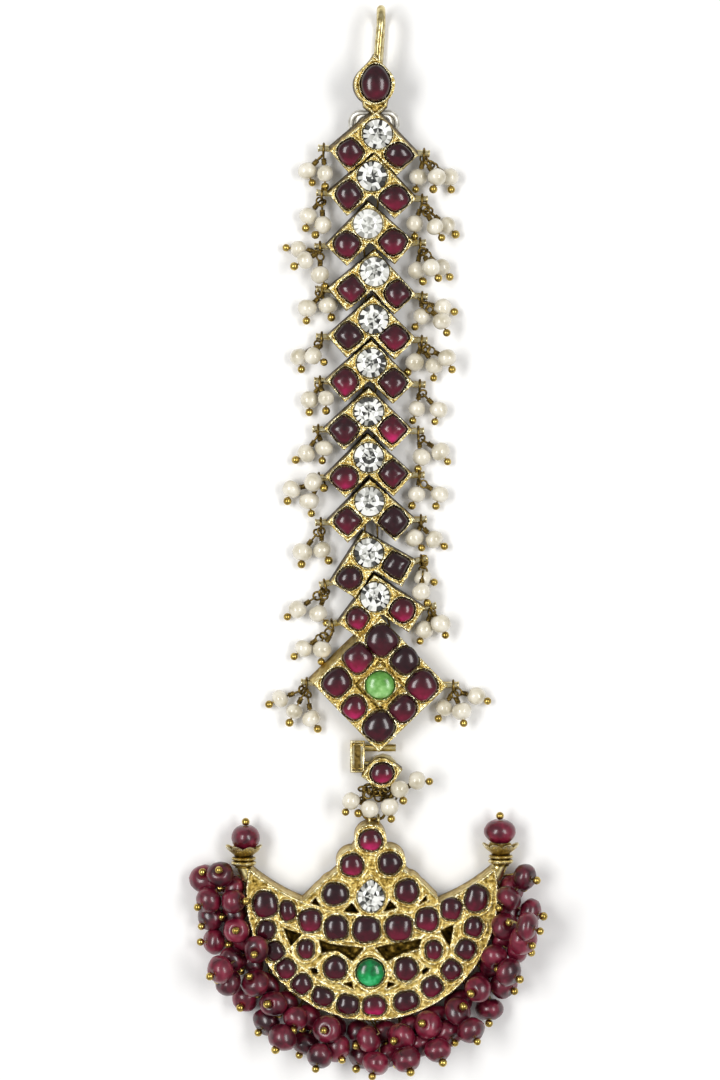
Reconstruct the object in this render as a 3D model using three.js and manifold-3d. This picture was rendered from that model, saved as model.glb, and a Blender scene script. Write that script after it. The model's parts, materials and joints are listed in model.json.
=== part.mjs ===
// Maang tikka, a hair jewel lying on its back: a hook and crown, eleven chevron links hung with seed
// pearls, a square plaque, an eye-shaped connector and a crescent pendant fringed with ruby beads.
// Millimetres. X goes across the jewel, Y along it towards the hook and Z up from the surface.
import * as THREE from 'three';
import { mergeVertices } from 'three/addons/utils/BufferGeometryUtils.js';
import Module from 'manifold-3d';

const wasm = await Module();
wasm.setup();

// Places are charted in steps across (u) and down (v) from a corner above and left of the hook.
const STEP = 0.15;
const MIDDLE_U = 367.1;
const MIDDLE_V = 538.2;
const LEFT = -1;
const RIGHT = 1;
const CLEAR = 0.3;
// How deep parts of one solid reach into each other
const SINK = 0.4;
const SMALL_STONE = 3;

// Chevron links, measured from the point of the chevron
const LINK_BACK = 1.7;
const LINK_THICK = 2;
const CORNER_X = 6.6;
const CORNER_Y = 6.24;
const ARM_WIDTH = 4.4;
const WHITE_STONE = { y: -3.5, radius: 2.15 };
const ARM_STONE = { x: 3.6, y: -6, size: 3.9 };

// Hidden joints: a lug under the point of each link and a staple from the link above it
const LUG = { y: -1.6, width: 0.9, length: 1.4, wall: 0.3, hole: 0.8 };
const STAPLE = { half: 1.1, thick: 0.36, root: -5.9, depth: 0.8 };
const CROWN_STAPLE = { half: 1.1, thick: 0.36, root: -1, depth: 2.2 };

// Tube stubs at the side corners, and the pins of the pearls that hang on them
const STUB = { radius: 0.5, inside: 1.3, outside: 1.7, drop: 0.35 };
const HANG = { out: 0.95, radius: 1 };
const PEARL = 1.42;
const PIN = 0.22;

// Crown and hook
const CROWN = { u: 374.5, v: 87, lift: 3.35, width: 3.05, top: 4.5, bottom: 3.2, thick: 2 };
const HOOK = { u: 378, wire: 0.65, topV: 5, rootV: 68, endV: 72, restZ: 0.68 };
const CROWN_SLOPE = 4;

// Plaque
const PLAQUE = { u: 380.3, v: 687.5, half: 9.83, thick: 2.7, tilt: 1 };
const PLAQUE_STONES = { spacing: 4.4, size: 4.3, collet: 2.35, green: 2.1 };

// Crescent: a disc with a larger disc cut away
const RIM = { u: 372, v: 894, radius: 18.6 };
const HOLLOW = { u: 372, v: 729, radius: 27.7 };
const CRESCENT = { back: 1.4, thick: 3 };
const WINDOW_DEPTH = 2;
const CARRIER = { out: 0.37, z: 0.95, wire: 0.22, reach: 0.55 };
const BEAD = 2;

const GOLD = new THREE.MeshStandardMaterial({ color: '#c9a54c', roughness: 0.35, metalness: 1 });
const PALE = new THREE.MeshStandardMaterial({ color: '#c9c6bb', roughness: 0.35, metalness: 0.8 });
const RUBY = new THREE.MeshStandardMaterial({ color: '#6b1230', roughness: 0.1, metalness: 0 });
const BEADS = new THREE.MeshStandardMaterial({ color: '#6b2440', roughness: 0.35, metalness: 0 });
const WHITE = new THREE.MeshStandardMaterial({ color: '#e8e8e8', roughness: 0.05, metalness: 0 });
const LIME = new THREE.MeshStandardMaterial({ color: '#7cc46a', roughness: 0.1, metalness: 0 });
const EMERALD = new THREE.MeshStandardMaterial({ color: '#0e9a4c', roughness: 0.1, metalness: 0 });
const NACRE = new THREE.MeshStandardMaterial({ color: '#f0ece4', roughness: 0.3, metalness: 0 });

// Apex of each chevron on the chart, its tilt and slope in degrees and its lift by the hook
const LINKS = [
  { u: 376, v: 111, tilt: 3, slope: 18, lift: 3.2 },
  { u: 374.6, v: 153.6, tilt: 3.5, slope: 8, lift: 1.35 },
  { u: 368.8, v: 201.6, tilt: -2, slope: 3, lift: 0.37 },
  { u: 375, v: 250, tilt: 4, slope: 0, lift: 0 },
  { u: 373.2, v: 295.8, tilt: 2, slope: 0, lift: 0 },
  { u: 371.4, v: 340.2, tilt: 2.1, slope: 0, lift: 0 },
  { u: 369, v: 387.9, tilt: 1, slope: 0, lift: 0 },
  { u: 367.9, v: 434.3, tilt: -1.5, slope: 0, lift: 0 },
  { u: 369.8, v: 479.2, tilt: -1.7, slope: 0, lift: 0 },
  { u: 363.5, v: 531.5, tilt: -14, slope: 0, lift: 0 },
  { u: 374.3, v: 574.6, tilt: -10, slope: 0, lift: 0 },
];

// Seed pearls of each link, left and right, as chart places in the order in which they come to lie
const PEARLS = [
  { left: [[307, 169], [325, 172.5]], right: [[419, 175], [450, 175], [437, 177]] },
  { left: [[308, 214], [323, 224]], right: [[415, 222], [447, 224], [435, 227]] },
  { left: [[298, 247.5], [320, 274], [305, 260]], right: [[417, 269], [442, 266], [431, 268]] },
  { left: [[307, 307], [328, 304]], right: [[422, 315], [443, 307], [442, 321]] },
  { left: [[299, 356], [313, 356]], right: [[415, 361], [434.5, 364.5], [447, 358]] },
  { left: [[309.5, 399], [326, 398]], right: [[417, 408], [439, 409]] },
  { left: [[306, 453], [324, 448]], right: [[422, 456.5], [441, 451]] },
  { left: [[291, 489], [309, 501], [313, 482]], right: [[417, 494], [440, 494]] },
  { left: [[302, 552], [322, 550]], right: [[414.5, 538], [434.5, 539.5]] },
  { left: [[297, 610], [318, 614]], right: [[423, 578], [421, 592]] },
  { left: [[303, 649], [322, 650]], right: [[424.5, 630], [441, 624]] },
];
const PLAQUE_PEARLS = {
  left: [[279.5, 699.6], [311, 719.5], [294, 712]],
  right: [[477, 697], [445, 709], [462, 711.5]],
};
const EYE_PEARLS = [[417, 780], [350.7, 800.5], [399.7, 788.5], [389.7, 806.3], [369.8, 808.4]];

// Rubies of the crescent and its crest: chart place, width and height in millimetres
const CRESCENT_RUBIES = [
  { u: 265.5, v: 903.5, w: 3.6, h: 3.9 },
  { u: 288, v: 910, w: 2.2, h: 2.9 },
  { u: 310.4, v: 919.5, w: 3.3, h: 3.3 },
  { u: 336.3, v: 926.7, w: 3.4, h: 3.5 },
  { u: 366.6, v: 928.6, w: 4, h: 3.7 },
  { u: 398.8, v: 926.9, w: 4, h: 3.7 },
  { u: 427, v: 918.6, w: 3.3, h: 3.3 },
  { u: 451.3, v: 907.7, w: 3, h: 3.2 },
  { u: 476, v: 897.6, w: 3.3, h: 4 },
  { u: 306, v: 948, w: 2.4, h: 2.8 },
  { u: 335.4, v: 967, w: 3.4, h: 3.4 },
  { u: 406, v: 968, w: 3.4, h: 3.4 },
  { u: 433.6, v: 949, w: 2.4, h: 2.8 },
  { u: 266.6, v: 929, w: 2.6, h: 2.8 },
  { u: 275, v: 950, w: 2.6, h: 2.8 },
  { u: 286, v: 968, w: 2.8, h: 2.8 },
  { u: 301, v: 984, w: 2.8, h: 2.8 },
  { u: 323, v: 995.5, w: 3.2, h: 2.6 },
  { u: 348, v: 1003.5, w: 3.2, h: 2.8 },
  { u: 374.6, v: 1004.5, w: 3.4, h: 2.8 },
  { u: 406, v: 1000, w: 3.6, h: 2.8 },
  { u: 431.8, v: 985.7, w: 3, h: 2.8 },
  { u: 451.4, v: 968.8, w: 2.8, h: 2.8 },
  { u: 465.7, v: 948.2, w: 2.8, h: 2.8 },
  { u: 473.6, v: 926, w: 2.6, h: 2.8 },
];
// Lobes of the crest: chart place, radius of the setting, width and height of the ruby
const CREST = [
  { u: 370.6, v: 839.5, setting: 2.4, w: 3.5, h: 3.2 },
  { u: 352.3, v: 864.3, setting: 2.4, w: 3.4, h: 3.3 },
  { u: 389.9, v: 862.5, setting: 2.4, w: 3.4, h: 3.3 },
  { u: 335.3, v: 893.2, setting: 2.7, w: 3.9, h: 3.3 },
  { u: 406.9, v: 890.2, setting: 2.6, w: 3.5, h: 3.5 },
];
const CREST_BASE = [
  [303, 900], [316, 887], [331, 875], [343, 864], [360, 835],
  [381, 835], [399, 863], [412, 875], [425, 884], [438, 897], [438, 915], [303, 918],
];
// Windows through the front plate, with the dark back plate behind them
const WINDOWS = [
  [[311.5, 902.5], [315.5, 897.5], [320.5, 906]],
  [[344, 910.5], [351.7, 902.5], [359.3, 912.5]],
  [[383.3, 911], [390, 900], [396.5, 907]],
  [[419, 903.5], [425.8, 895.5], [426.5, 899.5]],
  [[284, 927.5], [302, 934], [291.3, 945]],
  [[440.2, 929.5], [453.4, 924.3], [449.4, 946]],
  [[319.4, 939.2], [336.7, 944.5], [363.5, 947.5], [352.7, 959.9], [336.7, 949.5], [321.7, 951.8]],
  [[376, 947], [389.1, 943.8], [421, 938.5], [418.4, 947.2], [405.2, 951.3], [386.8, 960.4]],
  [[310.3, 968.2], [316.6, 966.8], [318.3, 972], [313.7, 973]],
  [[421.5, 970.2], [425.3, 966.5], [429.3, 968], [423, 974.5]],
  [[344, 983], [351.5, 981], [353, 987.5]],
  [[388, 981], [395.5, 983], [387, 987.5]],
];

// Finials at the horns: place of the neck's foot, the cup's mouth and the bead
const FINIALS = [
  { side: 'left', footU: 249, footV: 878, u: 243.5, v: 847, beadU: 244.5, beadV: 837 },
  { side: 'right', footU: 494, footV: 878, u: 501, v: 845, beadU: 500.5, beadV: 831.5 },
];
const CUP = { neck: 1.15, mouth: 2.6, rise: 2, wall: 0.35, collar: 1.75, bead: 2.1, z: 2.9 };

// Beads of the fringe, those underneath first. The last lies on the rim, at the height given.
const FRINGE = [
  [204, 880], [234, 900], [208, 914.5], [212, 942], [234, 960], [227, 987], [247, 1006.5],
  [268, 1025.5], [303, 1044], [336, 1047.5], [361.8, 1058.4], [389.5, 1055.5], [420, 1045],
  [448.5, 1033], [490, 1011], [505, 985.5], [519, 952], [530.2, 911.5], [524.5, 876.3],
  [220.4, 873.5], [207.5, 898.5], [237, 930], [255.4, 981.5], [273.8, 1003], [298, 1017.5],
  [327, 1028], [368.3, 1037], [401.3, 1036], [429, 1024], [457.4, 1010], [478.5, 988],
  [494.5, 956], [525, 936.5], [503, 922], [508.5, 894.5], [257, 946.5, 6.7],
];

const at = (u, v, z = 0) => new THREE.Vector3((u - MIDDLE_U) * STEP, (MIDDLE_V - v) * STEP, z);
const point = (x, y, z) => new THREE.Vector3(x, y, z);
const radians = THREE.MathUtils.degToRad;

// Makes a closed geometry a solid that can be joined and cut, with its faces pointing out.
function solid(geometry) {
  const bare = new THREE.BufferGeometry();
  bare.setAttribute('position', geometry.attributes.position);
  bare.setIndex(geometry.index);
  const merged = mergeVertices(bare);
  const places = merged.attributes.position;
  const corners = merged.index.array;
  const whole = [];
  const [a, b, c] = [point(), point(), point()];
  let volume = 0;
  for (let i = 0; i < corners.length; i += 3) {
    const [p, q, r] = [corners[i], corners[i + 1], corners[i + 2]];
    if (p === q || q === r || r === p) continue;
    whole.push([p, q, r]);
    a.fromBufferAttribute(places, p);
    b.fromBufferAttribute(places, q);
    c.fromBufferAttribute(places, r);
    volume += a.dot(b.cross(c));
  }
  const outward = volume < 0 ? whole.map(([p, q, r]) => [p, r, q]) : whole;
  return new wasm.Manifold(new wasm.Mesh({
    numProp: 3,
    vertProperties: new Float32Array(places.array),
    triVerts: new Uint32Array(outward.flat()),
  }));
}

const join = (solids) => solids.reduce((whole, next) => whole.add(next));
const cut = (whole, tools) => tools.reduce((left, tool) => left.subtract(tool), whole);

function addMesh(parent, name, shape, material) {
  const raw = shape.getMesh();
  const geometry = new THREE.BufferGeometry();
  geometry.setAttribute('position', new THREE.BufferAttribute(raw.vertProperties, 3));
  geometry.setIndex(new THREE.BufferAttribute(raw.triVerts, 1));
  geometry.computeVertexNormals();
  const mesh = new THREE.Mesh(geometry, material);
  mesh.name = name;
  parent.add(mesh);
}

// A flat plate from an outline, standing on height z
function plate(outline, z, thick) {
  const shape = outline instanceof THREE.Shape ? outline
    : new THREE.Shape(outline.map((p) => new THREE.Vector2(p.x, p.y)));
  const settings = { depth: thick, bevelEnabled: false, curveSegments: 6 };
  return solid(new THREE.ExtrudeGeometry(shape, settings).translate(0, 0, z));
}

function disc(centre, radius, z, thick, sides) {
  const geometry = new THREE.CylinderGeometry(radius, radius, thick, sides).rotateX(Math.PI / 2);
  return solid(geometry.translate(centre.x, centre.y, z + thick / 2));
}

function block(x, y, z, width, length, height) {
  return solid(new THREE.BoxGeometry(width, length, height).translate(x, y, z));
}

// A straight rod between two points
function rod(from, to, radius, sides) {
  const along = point().subVectors(to, from);
  const geometry = new THREE.CylinderGeometry(radius, radius, along.length(), sides);
  const turn = new THREE.Quaternion().setFromUnitVectors(point(0, 1, 0), along.normalize());
  geometry.applyQuaternion(turn);
  const middle = point().addVectors(from, to).multiplyScalar(0.5);
  return solid(geometry.translate(middle.x, middle.y, middle.z));
}

// A round body with its axis on Z, from pairs of radius and height
function turned(profile, sides) {
  const points = profile.map(([radius, height]) => new THREE.Vector2(radius, height));
  return new THREE.LatheGeometry(points, sides).rotateX(Math.PI / 2);
}

// A low domed stone whose foot is sunk into its setting; the small ones get fewer sides
function cabochon(place, width, height, z, rise = 1) {
  const profile = [[0, -SINK], [0.54, -SINK], [0.4, rise * 0.62], [0, rise]];
  const sides = height < SMALL_STONE ? 6 : 8;
  const geometry = turned(profile, sides).rotateZ(Math.PI / sides).scale(width, height, 1);
  return solid(geometry.translate(place.x, place.y, z));
}

// A brilliant with a flat table, eight crown facets and a girdle
function brilliant(radius, rise) {
  const profile = [[0, 0], [0.9, 0], [1, 0.25], [0.58, rise], [0, rise]];
  return turned(profile.map(([r, h]) => [r * radius, h]), 8);
}

// A pearl or bead of ten sides
function ball(centre, radius) {
  const profile = [[0, -1], [0.97, -0.46], [0.97, 0.46], [0, 1]];
  const geometry = turned(profile.map(([r, h]) => [r * radius, h * radius]), 10);
  return solid(geometry.translate(centre.x, centre.y, centre.z));
}

// A ring of wire round an axis
function loop(centre, axis, radius, wire) {
  const geometry = new THREE.TorusGeometry(radius, wire, 5, 10);
  geometry.applyQuaternion(new THREE.Quaternion().setFromUnitVectors(point(0, 0, 1), axis));
  return solid(geometry.translate(centre.x, centre.y, centre.z));
}

// A closed wire along a flat rounded oblong
function oblong(centre, halfWidth, halfLength, corner, wire, slope) {
  const points = [];
  for (const [sx, sy] of [[1, 1], [-1, 1], [-1, -1], [1, -1]]) {
    for (const turn of [0, 1, 2]) {
      const quarter = (turn * Math.PI) / 6 + Math.PI / 12;
      const [first, second] = sx * sy > 0 ? [Math.cos(quarter), Math.sin(quarter)]
        : [Math.sin(quarter), Math.cos(quarter)];
      points.push(point(
        sx * (halfWidth - corner + corner * first),
        sy * (halfLength - corner + corner * second),
        0,
      ));
    }
  }
  const path = new THREE.CatmullRomCurve3(points, true);
  const geometry = new THREE.TubeGeometry(path, 14, wire, 6, true).rotateX(radians(slope));
  return solid(geometry.translate(centre.x, centre.y, centre.z));
}

const jewel = new THREE.Group();

function frameAt(place, lift, slope, tilt) {
  const frame = new THREE.Group();
  frame.position.set(place.x, place.y, LINK_BACK + lift);
  frame.rotation.set(radians(slope), 0, radians(-tilt));
  jewel.add(frame);
  frame.updateMatrixWorld(true);
  return frame;
}

const crownFrame = frameAt(at(CROWN.u, CROWN.v), CROWN.lift, CROWN_SLOPE, 0);
const linkFrames = LINKS.map((link) => frameAt(at(link.u, link.v), link.lift, link.slope, link.tilt));
const plaqueFrame = frameAt(at(PLAQUE.u, PLAQUE.v), 0, 0, PLAQUE.tilt);

// The lug under the point of a link, with its top in the plate and a square hole across it
function lug(tip, depth) {
  const bottom = depth + LUG.hole / 2 + LUG.wall;
  const body = block(0, tip + LUG.y, 0.1 - (bottom + 0.1) / 2, LUG.width, LUG.length, bottom + 0.1);
  return body.subtract(block(0, tip + LUG.y, -depth, 2 * LUG.width, LUG.hole, LUG.hole));
}

// The staple of one piece: a flat U that slopes down from its back and through the next one's lug
function staple(frame, nextFrame, nextTip, kind) {
  const eye = nextFrame.localToWorld(point(0, nextTip + LUG.y, -kind.depth));
  const hole = frame.worldToLocal(eye);
  const rise = point(0, kind.root - hole.y, 0.15 - hole.z);
  const length = rise.length();
  const { half, thick } = kind;
  const inner = half - thick;
  const outline = [
    [-half, -thick / 2], [half, -thick / 2], [half, length], [inner, length],
    [inner, thick / 2], [-inner, thick / 2], [-inner, length], [-half, length],
  ].map(([x, y]) => new THREE.Vector2(x, y));
  const settings = { depth: thick, bevelEnabled: false };
  const geometry = new THREE.ExtrudeGeometry(new THREE.Shape(outline), settings);
  const [across, along] = [point(1, 0, 0), rise.normalize()];
  const normal = point().crossVectors(across, along);
  geometry.translate(0, 0, -thick / 2);
  geometry.applyMatrix4(new THREE.Matrix4().makeBasis(across, along, normal).setPosition(hole));
  return solid(geometry);
}

// The chevron's outline, from its point round by the right arm
function chevron() {
  const edge = Math.hypot(CORNER_X, CORNER_Y);
  const inward = { x: (-CORNER_Y / edge) * ARM_WIDTH, y: (-CORNER_X / edge) * ARM_WIDTH };
  const notch = (-ARM_WIDTH * edge) / CORNER_X;
  const end = { x: CORNER_X + inward.x, y: -CORNER_Y + inward.y };
  return [
    { x: 0, y: 0 }, { x: -CORNER_X, y: -CORNER_Y }, { x: -end.x, y: end.y },
    { x: 0, y: notch }, { x: end.x, y: end.y }, { x: CORNER_X, y: -CORNER_Y },
  ];
}

function stub(side, x, y) {
  const from = point(side * (x - STUB.inside), y, -STUB.drop);
  const to = point(side * (x + STUB.outside), y, -STUB.drop);
  return rod(from, to, STUB.radius, 6);
}

function hangerPlace(frame, side, x, y) {
  return frame.localToWorld(point(side * (x + HANG.out), y, -STUB.drop));
}

function makeLink(index) {
  const next = linkFrames[index + 1];
  const parts = [plate(chevron(), 0, LINK_THICK), lug(0, index === 0 ? CROWN_STAPLE.depth : STAPLE.depth)];
  for (const side of [LEFT, RIGHT]) {
    const stone = { x: side * ARM_STONE.x, y: ARM_STONE.y };
    parts.push(cabochon(stone, ARM_STONE.size, ARM_STONE.size, LINK_THICK));
    parts.push(stub(side, CORNER_X, -CORNER_Y));
  }
  parts.push(staple(linkFrames[index], next || plaqueFrame, next ? 0 : PLAQUE.half, STAPLE));
  return join(parts);
}

LINKS.forEach((link, index) => {
  const number = String(index + 1).padStart(2, '0');
  addMesh(linkFrames[index], `link_${number}`, makeLink(index), GOLD);
  const seat = LINK_THICK + CLEAR;
  const gem = brilliant(WHITE_STONE.radius, 0.95).translate(0, WHITE_STONE.y, seat);
  addMesh(linkFrames[index], `white_stone_${number}`, solid(gem), WHITE);
});

// Hook: up from the crown, over in a half turn and down to the surface behind
class HookCurve extends THREE.Curve {
  constructor(root, turn, radius, end) {
    super();
    Object.assign(this, { root, turn, radius, end });
    this.rise = turn.y - root.y;
    this.fall = turn.y - end;
    this.half = Math.PI * radius;
  }

  getPoint(t) {
    let run = t * (this.rise + this.half + this.fall);
    if (run < this.rise) return point(this.root.x, this.root.y + run, this.root.z);
    run -= this.rise;
    const back = this.root.z - 2 * this.radius;
    if (run > this.half) return point(this.root.x, this.turn.y - (run - this.half), back);
    const angle = run / this.radius;
    return point(
      this.root.x,
      this.turn.y + this.radius * Math.sin(angle),
      this.root.z - this.radius * (1 - Math.cos(angle)),
    );
  }
}

function hook() {
  const front = LINK_BACK + CROWN.lift + CROWN.thick / 2;
  const radius = (front - HOOK.restZ) / 2;
  const root = at(HOOK.u, HOOK.rootV, front);
  const turn = at(HOOK.u, HOOK.topV).add(point(0, -HOOK.wire - radius, 0));
  const path = new HookCurve(root, turn, radius, at(HOOK.u, HOOK.endV).y);
  const round = new THREE.Shape().absarc(0, 0, HOOK.wire, 0, 2 * Math.PI);
  const settings = { steps: 14, extrudePath: path, curveSegments: 4, bevelEnabled: false };
  return new THREE.ExtrudeGeometry(round, settings);
}

function teardrop(scale = 1) {
  const { width, top, bottom } = CROWN;
  const shape = new THREE.Shape();
  shape.moveTo(0, top * scale);
  shape.bezierCurveTo(-0.9 * scale, 2.6 * scale, -width * scale, 1.9 * scale, -width * scale, 0);
  shape.bezierCurveTo(-width * scale, -1.9 * scale, -1.4 * scale, -bottom * scale, 0, -bottom * scale);
  shape.bezierCurveTo(1.4 * scale, -bottom * scale, width * scale, -1.9 * scale, width * scale, 0);
  shape.bezierCurveTo(width * scale, 1.9 * scale, 0.9 * scale, 2.6 * scale, 0, top * scale);
  return shape;
}

const crownShift = new THREE.Matrix4().copy(crownFrame.matrixWorld).invert();
const crown = join([
  plate(teardrop(), 0, CROWN.thick),
  solid(hook().applyMatrix4(crownShift)),
  staple(crownFrame, linkFrames[0], 0, CROWN_STAPLE),
]);
addMesh(crownFrame, 'hook_and_crown', crown, GOLD);
const crownStone = cabochon({ x: 0, y: 0.1 }, 4.6, 5.4, CROWN.thick + CLEAR + SINK, 1.2);
addMesh(crownFrame, 'crown_ruby', crownStone, RUBY);

const backRing = oblong(at(374, 123.4, 3.43), 3.5, 1.65, 1.6, 0.36, 20);
addMesh(jewel, 'back_ring', backRing, PALE);

// Pearl clusters: each pearl sinks until it meets the surface or what already lies there.
const laid = [];
function settle(place, radius) {
  place.z = radius;
  for (const other of laid) {
    const reach = radius + other.radius + 0.05;
    const apart = Math.hypot(place.x - other.place.x, place.y - other.place.y);
    if (apart < reach) place.z = Math.max(place.z, other.place.z + Math.sqrt(reach ** 2 - apart ** 2));
  }
  laid.push({ place, radius });
  return place;
}

function cluster(name, anchor, axis, chart) {
  const pearls = chart.map(([u, v]) => settle(at(u, v), PEARL));
  const middle = pearls.reduce((sum, p) => sum.add(p), point(0, 0, 0)).divideScalar(pearls.length);
  const pull = middle.sub(anchor);
  pull.addScaledVector(axis, -pull.dot(axis)).normalize();
  const low = anchor.clone().addScaledVector(pull, HANG.radius);
  const parts = pearls.flatMap((pearl) => [rod(low, pearl, PIN, 3), ball(pearl, PEARL)]);
  addMesh(jewel, name, join(parts), NACRE);
}

const hangers = [];
LINKS.forEach((link, index) => {
  for (const [side, word] of [[LEFT, 'left'], [RIGHT, 'right']]) {
    hangers.push({
      name: `pearls_${word}_${String(index + 1).padStart(2, '0')}`,
      anchor: hangerPlace(linkFrames[index], side, CORNER_X, -CORNER_Y),
      axis: point(1, 0, 0).transformDirection(linkFrames[index].matrixWorld),
      chart: PEARLS[index][word],
    });
  }
});
for (const [side, word] of [[LEFT, 'left'], [RIGHT, 'right']]) {
  hangers.push({
    name: `plaque_pearls_${word}`,
    anchor: hangerPlace(plaqueFrame, side, PLAQUE.half, 0),
    axis: point(1, 0, 0).transformDirection(plaqueFrame.matrixWorld),
    chart: PLAQUE_PEARLS[word],
  });
}
for (const { anchor } of hangers) laid.push({ place: anchor, radius: HANG.radius });
for (const { name, anchor, axis, chart } of hangers) cluster(name, anchor, axis, chart);

// Plaque: a square on its corner, three by three stones, the middle one in a raised collet
const plaqueCorners = [[0, 1], [-1, 0], [0, -1], [1, 0]]
  .map(([x, y]) => ({ x: x * PLAQUE.half, y: y * PLAQUE.half }));
const plaqueParts = [
  plate(plaqueCorners, 0, PLAQUE.thick),
  lug(PLAQUE.half, STAPLE.depth),
  stub(LEFT, PLAQUE.half, 0),
  stub(RIGHT, PLAQUE.half, 0),
];
const BAR = { v: 749, fromU: 346, toU: 396, radius: 0.55, z: 1.3 };
const barEnds = [BAR.fromU, BAR.toU].map((u) => plaqueFrame.worldToLocal(at(u, BAR.v, BAR.z)));
plaqueParts.push(rod(barEnds[0], barEnds[1], BAR.radius, 8));
for (const row of [-1, 0, 1]) {
  for (const column of [-1, 0, 1]) {
    if (row === 0 && column === 0) continue;
    const reach = PLAQUE_STONES.spacing / Math.SQRT2;
    const place = { x: (column + row) * reach, y: (column - row) * reach };
    plaqueParts.push(cabochon(place, PLAQUE_STONES.size, PLAQUE_STONES.size, PLAQUE.thick, 1.1));
  }
}
plaqueParts.push(disc({ x: 0, y: 0 }, PLAQUE_STONES.collet, PLAQUE.thick - SINK, 2 * SINK, 8));
addMesh(plaqueFrame, 'plaque', join(plaqueParts), GOLD);
const greenFoot = PLAQUE.thick + CLEAR + 2 * SINK;
const green = cabochon({ x: 0, y: 0 }, 2 * PLAQUE_STONES.green, 2 * PLAQUE_STONES.green, greenFoot, 1.1);
addMesh(plaqueFrame, 'plaque_green_stone', green, LIME);

// Folded strip from the plaque's bar to the bar of the eye-shaped setting
const STRIP = { u: 357.5, width: 2.2, wall: 0.35, topV: 741.5, bottomV: 773.5, depth: 2.3 };
function stripOutline(inset) {
  const half = STRIP.depth / 2 - inset;
  const length = (STRIP.bottomV - STRIP.topV) * STEP - 2 * inset;
  const shape = new THREE.Shape();
  shape.absarc(length / 2 - half, 0, half, -Math.PI / 2, Math.PI / 2);
  shape.absarc(half - length / 2, 0, half, Math.PI / 2, 1.5 * Math.PI);
  return shape;
}
function stripPart(inset, width) {
  const settings = { depth: width, bevelEnabled: false, curveSegments: 5 };
  const geometry = new THREE.ExtrudeGeometry(stripOutline(inset), settings);
  geometry.translate(0, 0, -width / 2).rotateX(Math.PI / 2).rotateZ(Math.PI / 2);
  const middle = at(STRIP.u, (STRIP.topV + STRIP.bottomV) / 2, BAR.z);
  return solid(geometry.translate(middle.x, middle.y, middle.z));
}
addMesh(jewel, 'pendant_bail', stripPart(0, STRIP.width).subtract(stripPart(STRIP.wall, 9)), GOLD);

// Eye-shaped setting on a round boss, with a bar into the strip and a loop below
const EYE = { u: 382, v: 772.7, halfWidth: 3.1, halfHeight: 2.25, back: 2.9, thick: 1.5, tilt: -10 };
const EYE_BOSS = { radius: 1.7, z: 0.7 };
const EYE_BAR = { v: 765.5, fromU: 347, toU: 384, radius: 0.5 };
const EYE_LOOP = { u: 375, v: 786, radius: 0.72, wire: 0.22, z: 1.9 };
function eyeOutline() {
  const shape = new THREE.Shape();
  shape.moveTo(-EYE.halfWidth, 0);
  shape.quadraticCurveTo(-1.2, -EYE.halfHeight, 0, -EYE.halfHeight);
  shape.quadraticCurveTo(1.2, -EYE.halfHeight, EYE.halfWidth, 0);
  shape.quadraticCurveTo(1.2, EYE.halfHeight, 0, EYE.halfHeight);
  shape.quadraticCurveTo(-1.2, EYE.halfHeight, -EYE.halfWidth, 0);
  return shape;
}
const eyeGeometry = new THREE.ExtrudeGeometry(eyeOutline(), {
  depth: EYE.thick, bevelEnabled: false, curveSegments: 3,
});
const eyePlace = at(EYE.u, EYE.v);
eyeGeometry.rotateZ(radians(-EYE.tilt)).translate(eyePlace.x, eyePlace.y, EYE.back);
addMesh(jewel, 'eye_setting', join([
  solid(eyeGeometry),
  cabochon(eyePlace, 3.5, 3.1, EYE.back + EYE.thick, 1.1),
  disc(eyePlace, EYE_BOSS.radius, EYE_BOSS.z, EYE.back + 0.1 - EYE_BOSS.z, 8),
  rod(at(EYE_BAR.fromU, EYE_BAR.v, BAR.z), at(EYE_BAR.toU, EYE_BAR.v, BAR.z), EYE_BAR.radius, 6),
  loop(at(EYE_LOOP.u, EYE_LOOP.v, EYE_LOOP.z), point(1, 0, 0), EYE_LOOP.radius, EYE_LOOP.wire),
]), GOLD);

// Long ring that carries the pendant, with seed pearls on pins
const CARRY = { fromV: 785.5, toV: 820, halfWidth: 1.6, wire: 0.22, z: 1.9 };
const carryMiddle = at(374, (CARRY.fromV + CARRY.toV) / 2, CARRY.z);
const carryHalf = ((CARRY.toV - CARRY.fromV) * STEP) / 2;
const eyeParts = [oblong(carryMiddle, CARRY.halfWidth, carryHalf, 0.8, CARRY.wire, 0)];
for (const [u, v] of EYE_PEARLS) {
  const pearl = at(u, v, 4.4);
  const side = Math.sign(pearl.x - carryMiddle.x);
  const foot = point(carryMiddle.x + side * CARRY.halfWidth, carryMiddle.y, CARRY.z);
  eyeParts.push(rod(foot, pearl, PIN, 3), ball(pearl, PEARL));
}
addMesh(jewel, 'eye_pearls', join(eyeParts), NACRE);

// Crescent with crest, windows, necks, cups and the pendant's two loops
const front = CRESCENT.back + CRESCENT.thick;
const rimDisc = disc(at(RIM.u, RIM.v), RIM.radius, CRESCENT.back, CRESCENT.thick, 40);
const hollowDisc = disc(at(HOLLOW.u, HOLLOW.v), HOLLOW.radius, 0, 3 * CRESCENT.thick, 52);
const crescentParts = [rimDisc.subtract(hollowDisc)];
crescentParts.push(plate(CREST_BASE.map(([u, v]) => at(u, v)), CRESCENT.back, CRESCENT.thick));
for (const lobe of CREST) {
  crescentParts.push(disc(at(lobe.u, lobe.v), lobe.setting, CRESCENT.back, CRESCENT.thick, 8));
}

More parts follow.
